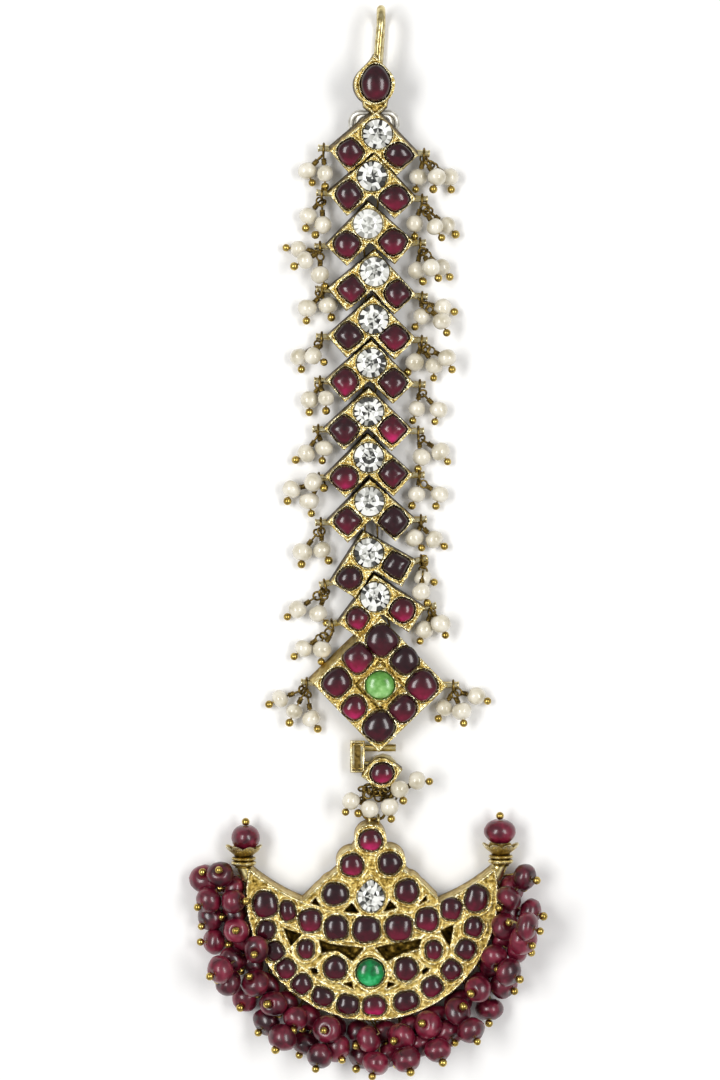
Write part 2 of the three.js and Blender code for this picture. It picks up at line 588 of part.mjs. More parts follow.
function cup(finial) {
  const [foot, mouth] = [at(finial.footU, finial.footV, CUP.z), at(finial.u, finial.v, CUP.z)];
  const profile = [
    [0, -0.6], [CUP.collar, -0.6], [CUP.collar, 0.1], [CUP.neck + 0.1, 0.3],
    [CUP.mouth, CUP.rise], [CUP.mouth - CUP.wall, CUP.rise], [0, 0.45],
  ];
  const geometry = turned(profile, 10).rotateX(-Math.PI / 2);
  const seat = mouth.clone().add(point(0, -CUP.rise, 0));
  const neckTop = seat.clone().add(point(0, -0.4, 0));
  return [solid(geometry.translate(seat.x, seat.y, seat.z)), rod(foot, neckTop, CUP.neck, 6)];
}
for (const finial of FINIALS) crescentParts.push(...cup(finial));

const NECK_LOOPS = { us: [369.5, 378.5], v: 821.2, radius: 0.74, wire: 0.22 };
for (const u of NECK_LOOPS.us) {
  const centre = at(u, NECK_LOOPS.v, CARRY.z);
  crescentParts.push(loop(centre, point(1, 0, 0), NECK_LOOPS.radius, NECK_LOOPS.wire));
}
const windows = WINDOWS.map((outline) => (
  plate(outline.map(([u, v]) => at(u, v)), front - WINDOW_DEPTH, 2 * WINDOW_DEPTH)
));
let crescent = cut(join(crescentParts), windows);
const rubies = [...CREST, ...CRESCENT_RUBIES].map(({ u, v, w, h }) => cabochon(at(u, v), w, h, front));
crescent = join([crescent, ...rubies]);
addMesh(jewel, 'crescent', crescent, GOLD);

const PEAR = { u: 371, v: 895, radius: 2 };
const pearPlace = at(PEAR.u, PEAR.v);
const pear = brilliant(PEAR.radius, 0.8).scale(1, 1.15, 1);
addMesh(jewel, 'pear_stone', solid(pear.translate(pearPlace.x, pearPlace.y, front + CLEAR)), WHITE);
const emeraldPlace = at(370.2, 971.4);
const emerald = cabochon(emeraldPlace, 4.2, 4.2, front + CLEAR + SINK, 1.2);
addMesh(jewel, 'crescent_emerald', emerald, EMERALD);

for (const finial of FINIALS) {
  const centre = at(finial.beadU, finial.beadV, CUP.z);
  const bead = new THREE.SphereGeometry(CUP.bead, 10, 5).scale(1.06, 0.97, 1);
  bead.translate(centre.x, centre.y, centre.z);
  addMesh(jewel, `finial_bead_${finial.side}`, solid(bead), BEADS);
}

// Fringe: a wire along the back of the rim, and every bead on its pin from the nearest point of it
const rimCentre = at(RIM.u, RIM.v);
const carrierRadius = RIM.radius + CARRIER.out;
class RimArc extends THREE.Curve {
  getPoint(t) {
    const angle = Math.PI - CARRIER.reach / 2 + t * (Math.PI + CARRIER.reach);
    return point(
      rimCentre.x + carrierRadius * Math.cos(angle),
      rimCentre.y + carrierRadius * Math.sin(angle),
      CARRIER.z,
    );
  }
}
const wireRound = new THREE.Shape().absarc(0, 0, CARRIER.wire, 0, 2 * Math.PI);
const fringeParts = [solid(new THREE.ExtrudeGeometry(wireRound, {
  steps: 26, extrudePath: new RimArc(), curveSegments: 3, bevelEnabled: false,
}))];
laid.length = 0;
for (const [u, v, height] of FRINGE) {
  const out = at(u, v).sub(rimCentre);
  if (!height) out.setLength(Math.max(out.length(), RIM.radius + BEAD + 0.1));
  const bead = rimCentre.clone().add(out);
  if (height) bead.z = height;
  else settle(bead, BEAD);
  const foot = rimCentre.clone().add(out.setLength(carrierRadius)).setZ(CARRIER.z);
  fringeParts.push(rod(foot, bead, PIN, 3), ball(bead, BEAD));
}
addMesh(jewel, 'ruby_fringe', join(fringeParts), BEADS);

export default jewel;
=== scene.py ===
# %% [markdown]
# # A maang tikka, dressed in Blender
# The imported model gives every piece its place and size. This lesson gives each piece its real surface:
# stippled gold foil, foil-backed stones, seed pearls on pins and a fringe of ruby beads.
# Lengths are in millimetres while a shape is worked out, and in metres once it is a mesh.

import json
import math
import random

import bpy
import numpy as np
from mathutils import Matrix, Vector, noise
from mathutils.geometry import delaunay_2d_cdt, tessellate_polygon

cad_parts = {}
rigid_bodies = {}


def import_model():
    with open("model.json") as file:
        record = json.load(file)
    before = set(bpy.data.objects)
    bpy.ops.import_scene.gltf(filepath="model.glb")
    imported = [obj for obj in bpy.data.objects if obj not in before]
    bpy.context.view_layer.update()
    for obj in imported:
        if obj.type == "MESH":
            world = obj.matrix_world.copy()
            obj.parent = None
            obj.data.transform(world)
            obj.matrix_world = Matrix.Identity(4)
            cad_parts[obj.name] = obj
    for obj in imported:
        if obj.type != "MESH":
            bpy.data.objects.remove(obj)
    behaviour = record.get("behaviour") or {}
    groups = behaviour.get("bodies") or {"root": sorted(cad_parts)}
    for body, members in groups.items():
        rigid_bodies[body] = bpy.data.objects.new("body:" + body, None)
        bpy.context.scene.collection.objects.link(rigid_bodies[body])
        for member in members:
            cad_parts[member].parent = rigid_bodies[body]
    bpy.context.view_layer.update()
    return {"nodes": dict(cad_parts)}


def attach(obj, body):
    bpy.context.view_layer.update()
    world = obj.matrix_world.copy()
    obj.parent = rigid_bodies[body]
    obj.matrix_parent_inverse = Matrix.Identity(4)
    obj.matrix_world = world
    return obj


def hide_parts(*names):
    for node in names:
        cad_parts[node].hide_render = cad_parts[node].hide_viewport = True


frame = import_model()
MM = 0.001
print("frame nodes:", len(frame["nodes"]))

# %% [markdown]
# ## The chart
# The jewel lies flat, so every place is a point on a chart seen from straight above. Chart steps are
# 0.15 mm, counted right (u) and down (v). One function turns a chart point into millimetres in the frame.

# %% Chart places in millimetres
STEP = 0.15
MIDDLE_U = 367.1
MIDDLE_V = 538.2
LEFT, RIGHT = -1, 1


def at(u, v, z=0.0):
    """The frame's place, in millimetres, of a chart point at height z."""
    return Vector(((u - MIDDLE_U) * STEP, (MIDDLE_V - v) * STEP, z))


print("hook's chart place:", at(378, 5))

# %% [markdown]
# ## Adding nodes and colours
# Every material and every Geometry Nodes tree below is built by one helper. It adds a node, sets its
# properties, and gives each input either a value or a link. Colours are written as sRGB hex, as a
# colour picker shows them, and turned to the linear values that a shader needs.


# %% One helper for nodes, one for colours
def add_node(tree, kind, inputs=None, **settings):
    """Adds a node; inputs maps a socket's name or number to a value or to another node's output."""
    node = tree.nodes.new(kind)
    for name, value in settings.items():
        setattr(node, name, value)
    for key, value in (inputs or {}).items():
        if isinstance(value, bpy.types.NodeSocket):
            tree.links.new(value, node.inputs[key])
        else:
            node.inputs[key].default_value = value
    return node


def linear(hex_colour):
    """Linear red, green, blue and alpha of an sRGB hex colour."""
    parts = [int(hex_colour[i : i + 2], 16) / 255 for i in (1, 3, 5)]
    return [c / 12.92 if c <= 0.04045 else ((c + 0.055) / 1.055) ** 2.4 for c in parts] + [1.0]


def new_material(name):
    material = bpy.data.materials.new(name)
    material.use_nodes = True
    return material, material.node_tree, material.node_tree.nodes["Principled BSDF"]


def colour_ramp(tree, factor, stops):
    """Colours along a factor, from pairs of position and hex colour."""
    node = add_node(tree, "ShaderNodeValToRGB", {"Fac": factor})
    elements = node.color_ramp.elements
    while len(elements) < len(stops):
        elements.new(0.5)
    for element, (position, colour) in zip(elements, stops):
        element.position = position
        element.color = linear(colour)
    return node.outputs["Color"]


def spread(tree, factor, low, high):
    """A factor from 0 to 1 mapped to a range."""
    node = add_node(tree, "ShaderNodeMapRange", {"Value": factor, "To Min": low, "To Max": high})
    return node.outputs["Result"]


def calculate(tree, operation, first, second):
    return add_node(tree, "ShaderNodeMath", {0: first, 1: second}, operation=operation).outputs[0]


def place_on_piece(tree):
    return add_node(tree, "ShaderNodeTexCoord").outputs["Object"]


def carried_number(tree, name):
    """A number that the mesh carries at each point or face."""
    return add_node(tree, "ShaderNodeAttribute", attribute_name=name).outputs["Fac"]


def clouds_of(tree, place, grain, detail, **more):
    """Noise whose clouds are one grain across."""
    inputs = {"Vector": place, "Scale": 1 / grain, "Detail": detail, **more}
    return add_node(tree, "ShaderNodeTexNoise", inputs).outputs["Fac"]


def add_bump(tree, shader, height, strength, distance):
    bump = add_node(tree, "ShaderNodeBump", {"Height": height, "Strength": strength, "Distance": distance})
    tree.links.new(bump.outputs["Normal"], shader.inputs["Normal"])


def add_object(name, data):
    """A new object at the origin, linked to the scene."""
    made = bpy.data.objects.new(name, data)
    bpy.context.scene.collection.objects.link(made)
    return made


print("gold as linear colour:", [round(c, 3) for c in linear("#c4a248")])

# %% [markdown]
# ## Gold
# The settings are kundan work: thin pure gold foil pressed by hand round each stone over a silver
# body. Pressing leaves a stippled ground, and burnishing leaves smooth rims. Each setting's mesh carries
# a number of painted light, 0 in a hollow and 1 on a rim: painted shade in the hollows and seams, and
# painted highlight on the rims and stipple tops. This material turns it into colour and roughness.
# Noise at the grain of the stipple breaks both up.

# %% Kundan gold foil, pressed and burnished
STIPPLE = 0.4 * MM
FINE_GRAIN = 0.12 * MM
PATCHINESS = 0.42


def kundan_gold():
    material, tree, shader = new_material("kundan_gold_foil")
    place = place_on_piece(tree)
    patches = clouds_of(tree, place, 2 * STIPPLE, 4.0)
    shift = spread(tree, patches, -PATCHINESS, PATCHINESS)
    tone = calculate(tree, "ADD", carried_number(tree, "painted_light"), shift)
    # Colour runs from brown, painted shade where light is lost in hollows, to pale yellow, painted highlight
    # on rims.
    colours = colour_ramp(
        tree,
        tone,
        [(0.0, "#171004"), (0.22, "#4f3e14"), (0.46, "#a98c42"), (0.7, "#dcc67c"), (0.92, "#fdf5cb")],
    )
    tree.links.new(colours, shader.inputs["Base Color"])
    shader.inputs["Metallic"].default_value = 1.0
    tree.links.new(spread(tree, tone, 0.5, 0.2), shader.inputs["Roughness"])
    cells = add_node(
        tree, "ShaderNodeTexVoronoi", {"Vector": place, "Scale": 1 / STIPPLE}
    ).outputs["Distance"]
    both = calculate(tree, "ADD", cells, clouds_of(tree, place, FINE_GRAIN, 2.0))
    add_bump(tree, shader, both, 0.9, 0.09 * MM)
    return material


def drawn_metal(name, dark, pale, rough, grain):
    """Drawn or cast metal: an uneven colour between two tones and a fine handled surface."""
    material, tree, shader = new_material(name)
    patches = clouds_of(tree, place_on_piece(tree), grain, 5.0)
    tree.links.new(colour_ramp(tree, patches, [(0.32, dark), (0.68, pale)]), shader.inputs["Base Color"])
    tree.links.new(spread(tree, patches, rough + 0.12, rough - 0.08), shader.inputs["Roughness"])
    shader.inputs["Metallic"].default_value = 1.0
    add_bump(tree, shader, patches, 0.3, 0.03 * MM)
    return material


GOLD_FOIL = kundan_gold()
# Gold-plated silver wire, drawn: bright, with a soft long highlight
GOLD_WIRE = drawn_metal("drawn_gold_plated_wire", "#a38d50", "#ecdfa9", 0.28, 0.8 * MM)
# Gold tube and strip, burnished: paler and brighter than the wire
GOLD_STRIP = drawn_metal("burnished_gold_strip", "#c4ad66", "#fcf3cf", 0.24, 0.7 * MM)
# Antiqued brass findings: rings and wrapped wire, dark all over in uneven patches
ANTIQUE_BRASS = drawn_metal("antiqued_brass_findings", "#3d2f14", "#9c8244", 0.38, 0.5 * MM)
# Cast gilt balls on the pins: rounder and warmer, with a tight highlight
GILT_BALL = drawn_metal("gilt_pin_balls", "#8d722e", "#dabf6c", 0.26, 0.6 * MM)
# Silver-gilt worn to pale metal on the ring behind the crown
PALE_METAL = drawn_metal("worn_silver_gilt", "#b7b3a8", "#f0ede4", 0.42, 0.9 * MM)
print("metals:", [m.name for m in bpy.data.materials])

# %% [markdown]
# ## Stones, pearls and beads
# The rubies are cabochons over red foil. Their colour is painted light: painted shade at the edge, and a
# painted glow, brighter on the lower side, for the light that would come back from the foil. That glow
# depends on the place in the stone, so each stone carries a number called glow. The white stones are
# foil-backed brilliants; each facet is painted with a reflection of another part of the room, from near black
# to white, and each face carries that as a number called fire. Polish comes from a clear coat.


# %% Cabochons, brilliants, pearls and beads
def foil_backed(name, stops, index, silk_depth):
    """A polished domed stone over foil, with its refractive index and how much silk clouds it."""
    material, tree, shader = new_material(name)
    silk = clouds_of(tree, place_on_piece(tree), 0.9 * MM, 5.0)
    shift = spread(tree, silk, -silk_depth, silk_depth)
    tone = calculate(tree, "ADD", carried_number(tree, "glow"), shift)
    tree.links.new(colour_ramp(tree, tone, stops), shader.inputs["Base Color"])
    shader.inputs["Roughness"].default_value = 0.2
    shader.inputs["IOR"].default_value = index
    shader.inputs["Coat Weight"].default_value = 0.15
    shader.inputs["Coat Roughness"].default_value = 0.05
    return material


def faceted_white():
    """Foil-backed brilliants: each facet's painted reflection, from near black to white, under a polished
    face.
    """
    material, tree, shader = new_material("foil_backed_brilliant")
    stops = [(0.0, "#0a0a09"), (0.3, "#4f4f4a"), (0.6, "#b1b1a9"), (0.85, "#f8f8f2")]
    colours = colour_ramp(tree, carried_number(tree, "fire"), stops)
    tree.links.new(colours, shader.inputs["Base Color"])
    shader.inputs["Roughness"].default_value = 0.06
    shader.inputs["IOR"].default_value = 1.6
    shader.inputs["Coat Weight"].default_value = 0.5
    shader.inputs["Coat Roughness"].default_value = 0.02
    return material


def nacre():
    """Seed pearl: creamy layers in faint clouds, with a soft lustre."""
    material, tree, shader = new_material("seed_pearl_nacre")
    layers = clouds_of(tree, place_on_piece(tree), 1.6 * MM, 3.0)
    stops = [(0.3, "#bdb398"), (0.5, "#dcd4bf"), (0.72, "#f1ebdc")]
    tree.links.new(colour_ramp(tree, layers, stops), shader.inputs["Base Color"])
    tree.links.new(spread(tree, layers, 0.34, 0.2), shader.inputs["Roughness"])
    shader.inputs["Coat Weight"].default_value = 0.8
    shader.inputs["Coat Roughness"].default_value = 0.06
    add_bump(tree, shader, layers, 0.25, 0.08 * MM)
    return material


def ruby_bead():
    """Tumbled ruby: cloudy purple-red with veins and an uneven, half-dull polish."""
    material, tree, shader = new_material("tumbled_ruby_bead")
    clouds = clouds_of(tree, place_on_piece(tree), 1.7 * MM, 6.0, Distortion=0.6)
    mixed = calculate(tree, "ADD", clouds, carried_number(tree, "tone"))
    stops = [(0.28, "#2b0410"), (0.46, "#560c20"), (0.64, "#771730"), (0.88, "#983e50")]
    tree.links.new(colour_ramp(tree, mixed, stops), shader.inputs["Base Color"])
    tree.links.new(spread(tree, clouds, 0.2, 0.42), shader.inputs["Roughness"])
    shader.inputs["IOR"].default_value = 1.55
    shader.inputs["Coat Weight"].default_value = 0.25
    shader.inputs["Coat Roughness"].default_value = 0.1
    add_bump(tree, shader, clouds, 0.35, 0.1 * MM)
    return material


RUBY = foil_backed(
    "ruby_cabochon_over_foil",
    [(0.0, "#0f0306"), (0.2, "#29070f"), (0.42, "#4a0a1b"), (0.68, "#780f30"), (1.0, "#c81f66")],
    index=1.5, silk_depth=0.2,
)
LIME = foil_backed(
    "light_green_cabochon",
    [(0.0, "#25500f"), (0.35, "#5c9740"), (0.65, "#92c777"), (1.0, "#e6f9c8")],
    index=1.5, silk_depth=0.45,
)
EMERALD = foil_backed(
    "emerald_cabochon",
    [(0.0, "#010f06"), (0.28, "#03552a"), (0.6, "#06964a"), (1.0, "#5fe09a")],
    index=1.5, silk_depth=0.5,
)
WHITE = faceted_white()
NACRE = nacre()
BEAD_RUBY = ruby_bead()
print("materials:", len(bpy.data.materials))

# %% [markdown]
# ## From numbers to meshes
# A setting is a plate whose top is a relief: rims, hollows and stippled ground. A relief could be sculpted
# or displaced, but a triangle net with a worked-out height for each point keeps true edges at the outline and
# at the windows. Blender's own Delaunay function makes that net from a honeycomb of points.


# %% Keeping a finished mesh
def keep(name, points, faces, material, nodes=(), numbers=None, sharp=35):
    """Makes a piece from points in millimetres, rides it on the root body and hides the imported parts that
    it stands for.
    """
    mesh = bpy.data.meshes.new(name)
    mesh.from_pydata((np.asarray(points, dtype=float) * MM).tolist(), [], faces)
    for key, values in (numbers or {}).items():
        domain = "POINT" if len(values) == len(mesh.vertices) else "FACE"
        attribute = mesh.attributes.new(key, "FLOAT", domain)
        attribute.data.foreach_set("value", np.asarray(values, dtype=np.float32))
    mesh.materials.append(material)
    if sharp:
        mesh.shade_smooth()
        mesh.set_sharp_from_angle(angle=math.radians(sharp))
    return dress(add_object(name, mesh), nodes)


def dress(piece, nodes=()):
    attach(piece, "root")
    if nodes:
        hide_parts(*nodes)
    triangles = sum(len(face.vertices) - 2 for face in piece.data.polygons)
    print(f"{piece.name}: {triangles} triangles")
    return piece


# %% Outlines: even steps, inside or outside, and the distance to an edge
def even_steps(outline, spacing):
    """The outline again, with points no further apart than spacing."""
    outline = np.asarray(outline, dtype=float)
    result = []
    for a, b in zip(outline, np.roll(outline, -1, axis=0)):
        count = max(1, math.ceil(np.linalg.norm(b - a) / spacing))
        result.extend(a + (b - a) * k / count for k in range(count))
    return np.array(result)


def is_inside(points, outline):
    crossed = np.zeros(len(points), dtype=bool)
    for a, b in zip(outline, np.roll(outline, -1, axis=0)):
        if a[1] == b[1]:
            continue
        spans = (a[1] > points[:, 1]) != (b[1] > points[:, 1])
        cross = a[0] + (points[:, 1] - a[1]) * (b[0] - a[0]) / (b[1] - a[1])
        crossed ^= spans & (points[:, 0] < cross)
    return crossed


def edge_distance(points, starts, ends):
    nearest = np.full(len(points), 1e6)
    for a, b in zip(starts, ends):
        along = b - a
        share = np.clip(((points - a) @ along) / max(along @ along, 1e-12), 0, 1)
        nearest = np.minimum(nearest, np.hypot(*(points - a - share[:, None] * along).T))
    return nearest


def net(outlines, spacing, lines=()):
    """A net of triangles over the union of the outlines. Lines are closed and kept as edges in it."""
    loops = [even_steps(loop, spacing) for loop in [*outlines, *lines]]
    every = np.vstack(loops)
    low, high = every.min(axis=0), every.max(axis=0)
    row_step = spacing * math.sqrt(0.75)
    rows = np.arange(low[1], high[1], row_step)
    columns = np.arange(low[0], high[0], spacing)
    grid = np.array([(x + spacing * 0.5 * (i % 2), y) for i, y in enumerate(rows) for x in columns])
    within = np.zeros(len(grid), dtype=bool)
    for loop in loops[: len(outlines)]:
        within |= is_inside(grid, loop)
    grid = grid[within]
    starts = np.vstack(loops)
    ends = np.vstack([np.roll(loop, -1, axis=0) for loop in loops])
    grid = grid[edge_distance(grid, starts, ends) > 0.55 * spacing]
    edges, offset = [], 0
    for loop in loops:
        count = len(loop)
        edges.extend((offset + k, offset + (k + 1) % count) for k in range(count))
        offset += count
    places = [Vector(p) for p in np.vstack([every, grid])]
    made = delaunay_2d_cdt(places, edges, [], 1, 1e-5)
    points = np.array([tuple(p) for p in made[0]])
    faces = np.array(made[2])
    a, b, c = (points[faces[:, k]] for k in range(3))
    turn = (b[:, 0] - a[:, 0]) * (c[:, 1] - a[:, 1]) - (b[:, 1] - a[:, 1]) * (c[:, 0] - a[:, 0])
    faces[turn < 0] = faces[turn < 0][:, ::-1]
    return points, faces[np.abs(turn) > 1e-9]


def rim_loops(faces):
    """The closed rims of a net, each as a list of point numbers with the net on its left."""
    sides = {(f[k], f[(k + 1) % 3]) for f in faces.tolist() for k in range(3)}
    following = {a: b for a, b in sides if (b, a) not in sides}
    loops = []
    while following:
        start = next(iter(following))
        loop, point = [], start
        while point in following:
            loop.append(point)
            point = following.pop(point)
        loops.append(loop)
    return loops


# %% [markdown]
# ## Relief of pressed foil
# A stone's seat is described by its middle, half width, half height, turn, and squareness: 2 is an
# ellipse, 3 a rounded square and 1.3 a diamond. From that come the stone's own outline, the seam of painted
# shade beside it, the steep collet with its painted highlight and the second, lower rim that the maker's tool
# leaves outside it.


# %% Seats of stones and the relief round them
def seat(x, y, half_width, half_height, turn=0.0, square=2.0, point=0.0, cut=False):
    """A seat; cut by hand, the stone in it has an uneven edge."""
    return {"x": x, "y": y, "a": half_width, "b": half_height, "turn": math.radians(turn), "n": square,
            "point": point, "cut": cut}


def narrowing(share, stone):
    """How much narrower a pear-shaped stone is at a share of its height above the middle."""
    return 1 - stone["point"] * np.clip(share, 0, 1) ** 1.4


def uneven(angle, stone):
    """How far a hand-cut stone's edge strays from the true curve, as a factor."""
    start = 7 * stone["x"] + 5 * stone["y"]
    return 1 + 0.022 * np.sin(3 * angle + start) + 0.018 * np.sin(5 * angle + 2 * start)


def seat_gap(points, stone):
    """Distance in millimetres outside the stone's edge, and less than nought under the stone."""
    x, y = points[:, 0] - stone["x"], points[:, 1] - stone["y"]
    c, s = math.cos(stone["turn"]), math.sin(stone["turn"])
    across = (y * c - x * s) / stone["b"]
    along = np.abs(x * c + y * s) / (stone["a"] * narrowing(across, stone))
    across = np.abs(across)
    level = (along ** stone["n"] + across ** stone["n"]) ** (1 / stone["n"])
    if stone["cut"]:
        level = level / uneven(np.arctan2(y * c - x * s, x * c + y * s), stone)
    return np.hypot(x, y) * (1 - 1 / np.maximum(level, 1e-6))


def ridge(distance, middle, width):
    return np.exp(-(((distance - middle) / width) ** 2))


COLLET = {"middle": 0.19, "width": 0.14, "height": 0.3}
OUTER_RIM = {"middle": 0.6, "width": 0.11, "height": 0.13}
EDGE_RIM = {"middle": 0.2, "width": 0.16, "height": 0.2}
RIDGE = {"width": 0.16, "height": 0.16}
# Seams of painted shade, each by its distance, its width and how dark it is painted
EDGE_SEAM, RIDGE_SEAM, COLLET_SEAM = (0.5, 0.1, 0.3), (0.34, 0.09, 0.3), (0.41, 0.08, 0.28)
SEAT_DEPTH = 0.3
GROUND_GRAIN = 0.4


# Painted shade: a band darkened in the ground beside a rim, ridge or collet
def seam_shade(distance, seam_kind):
    middle, width, shade_depth = seam_kind
    return shade_depth * ridge(distance, middle, width)


def pressed_foil(points, edge, stones, seed, ridges=()):
    """Height above the plate in millimetres and painted light from 0 to 1 for each point: painted shade in
    hollows and seams, painted highlight on rims and stipple tops.
    """
    height = EDGE_RIM["height"] * ridge(edge, EDGE_RIM["middle"], EDGE_RIM["width"])
    # Painted highlight on the rim along the edge, and painted shade in the seam inside it
    painted_light = 0.5 + 0.42 * ridge(edge, EDGE_RIM["middle"], EDGE_RIM["width"])
    painted_light -= seam_shade(edge, EDGE_SEAM)
    height -= 0.12 * np.clip(1 - edge / 0.1, 0, 1)
    for distance in ridges:
        crest = ridge(distance, 0, RIDGE["width"])
        height = np.maximum(height, RIDGE["height"] * crest)
        painted_light = np.maximum(painted_light, 0.5 + 0.4 * crest)
        painted_light -= seam_shade(np.abs(distance), RIDGE_SEAM)
    for stone in stones:
        gap = seat_gap(points, stone)
        collet = ridge(gap, COLLET["middle"], COLLET["width"])
        outer = ridge(gap, OUTER_RIM["middle"], OUTER_RIM["width"])
        height = np.maximum(height, COLLET["height"] * collet)
        height = np.maximum(height, OUTER_RIM["height"] * outer)
        # Painted highlight on each collet and its outer rim; painted shade in the seam beside the collet
        painted_light = np.maximum(painted_light, 0.5 + 0.5 * collet)
        painted_light = np.maximum(painted_light, 0.5 + 0.3 * outer)
        painted_light -= seam_shade(gap, COLLET_SEAM)
        under = np.clip((0.05 - gap) / 0.06, 0, 1)
        height = height * (1 - under) - SEAT_DEPTH * under
        painted_light = painted_light * (1 - under) + 0.02 * under
    grain = np.array([
        noise.noise(Vector((p[0] / GROUND_GRAIN, p[1] / GROUND_GRAIN, seed)))
        + 0.6 * noise.noise(Vector((2.7 * p[0] / GROUND_GRAIN, 2.7 * p[1] / GROUND_GRAIN, seed)))
        for p in points
    ])
    height += 0.075 * grain * (height > -0.05)
    # The stipple's raised grains are painted lighter: painted light on its bumps
    painted_light += 0.3 * grain
    return height, np.clip(painted_light, 0, 1)


# %% [markdown]
# A plate then gets walls from its outline down to a flat back. The walls are darker than the front,
# because little light reaches between the links.


# %% A plate with a relief top, walls and a back
WALL_TONES = ((0.92, 0.62), (0.8, 0.3), (0.45, 0.22), (0.0, 0.1))
# Walls that stand free catch the light
BRIGHT_WALLS = ((0.92, 0.75), (0.8, 0.6), (0.45, 0.55), (0.0, 0.3))


def relief_plate(name, outlines, thick, stones, place, spacing, nodes, seed, **more):
    """A setting: outlines in its own millimetres, placed by a matrix in millimetres."""
    windows = more.get("windows", ())
    lines = [loop for window in windows for loop in (window, shrink(window, 0.07))]
    points, faces = net(outlines, spacing, lines)
    rims = rim_loops(faces)
    starts = np.vstack([points[rim] for rim in rims])
    ends = np.vstack([points[np.roll(rim, -1)] for rim in rims])
    edge = edge_distance(points, starts, ends)
    for window in windows:
        edge = np.minimum(edge, edge_distance(points, window, np.roll(window, -1, axis=0)))
    extra = more["ridges"](points) if "ridges" in more else ()
    height, painted_light = pressed_foil(points, edge, stones, seed, extra)
    if "lift" in more:
        raised, bright = more["lift"](points)
        height += raised
        painted_light = np.clip(painted_light + bright, 0, 1)
    for window in windows:
        inner = shrink(window, 0.05)
        floor = is_inside(points, inner)
        height[floor] = -more["depth"]
        # Painted shade: each window's floor is coloured dark, unevenly, for the shade inside the recess
        depth_shade = np.array([noise.noise(Vector((p[0] / 1.1, p[1] / 0.5, 3))) for p in points[floor]])
        painted_light[floor] = np.clip(0.14 + 0.26 * depth_shade, 0, 0.4)
    top = np.column_stack([points, thick + height])
    every, shade, walls = [top], [painted_light], []
    count = len(top)
    lean = np.array(more.get("lean", (0.0, 0.0)))
    for rim in rims:
        above = np.array(rim)
        along = np.roll(points[rim], -1, axis=0) - np.roll(points[rim], 1, axis=0)
        outward = np.column_stack([along[:, 1], -along[:, 0]]) / np.linalg.norm(along, axis=1)[:, None]
        for share, tone in more.get("walls", WALL_TONES):
            spot = points[rim] + (1 - share) * (lean + more.get("flare", 0.0) * outward)
            ring = np.column_stack([spot, np.full(len(rim), share * thick)])
            below = np.arange(count, count + len(rim))
            count += len(rim)
            every.append(ring)
            shade.append(np.full(len(rim), tone))
            for k in range(len(rim)):
                n = (k + 1) % len(rim)
                walls.append((int(above[k]), int(below[k]), int(below[n]), int(above[n])))
            above = below
        flat = tessellate_polygon([[Vector((*points[p], 0)) for p in rim]])
        for a, b, c in flat:
            pa, pb, pc = points[rim[a]], points[rim[b]], points[rim[c]]
            turn = (pb[0] - pa[0]) * (pc[1] - pa[1]) - (pb[1] - pa[1]) * (pc[0] - pa[0])
            face = (above[a], above[c], above[b]) if turn > 0 else (above[a], above[b], above[c])
            walls.append(tuple(int(corner) for corner in face))
    corners = np.vstack(every)
    placed_corners = np.array([tuple(place @ Vector(p)) for p in corners])
    numbers = {"painted_light": np.concatenate(shade)}
    every_face = faces.tolist() + walls
    return keep(name, placed_corners, every_face, GOLD_FOIL, nodes, numbers, sharp=48)


def shrink(outline, by):
    """A convex-enough outline drawn in towards its middle by a distance."""
    outline = np.asarray(outline, dtype=float)
    middle = outline.mean(axis=0)
    reach = np.linalg.norm(outline - middle, axis=1)[:, None]
    return middle + (outline - middle) * (1 - by / np.maximum(reach, by * 2))


# %% [markdown]
# ## Cut stones
# A cabochon is a dome over its own outline. The rings of points run from the top of the dome down to a
# girdle that sits inside the collet, and a flat base closes it.


# %% Domed stones and brilliants
DOME_SIDES = 36
DOME_RINGS = 9
# One step of trimming: how far a stone moves to the middle, and what grinding leaves of it
NUDGE, GRIND = 0.12, 0.988


def ring_quads(first, second, count):
    """Faces between two rings of points, from the number of each ring's first point."""
    return [(first + k, second + k, second + (k + 1) % count, first + (k + 1) % count) for k in range(count)]


def girdle(stone):
    """The stone's edge, seen from above, round its own middle."""
    angles = np.linspace(0, 2 * math.pi, DOME_SIDES, endpoint=False)
    cosines, sines = np.cos(angles), np.sin(angles)
    level = (np.abs(cosines / stone["a"]) ** stone["n"] + np.abs(sines / stone["b"]) ** stone["n"])
    radius = level ** (-1 / stone["n"])
    if stone["cut"]:
        radius = radius * uneven(angles, stone)
    c, s = math.cos(stone["turn"]), math.sin(stone["turn"])
    across = radius * cosines * narrowing(radius * sines / stone["b"], stone)
    return np.column_stack([across * c - radius * sines * s, radius * sines * c + across * s])


def trimmed(stone, outline, margin, middle):
    """The stone again, moved to the middle and ground down until it lies a margin inside the outline."""
    outline = np.asarray(outline, dtype=float)
    room = 0.0
    while room < margin:
        edge = girdle(stone) + (stone["x"], stone["y"])
        room = edge_distance(edge, outline, np.roll(outline, -1, axis=0)).min()
        if room < margin:
            x = stone["x"] + NUDGE * (middle[0] - stone["x"])
            y = stone["y"] + NUDGE * (middle[1] - stone["y"])
            stone = {**stone, "x": x, "y": y, "a": stone["a"] * GRIND, "b": stone["b"] * GRIND}
    return stone


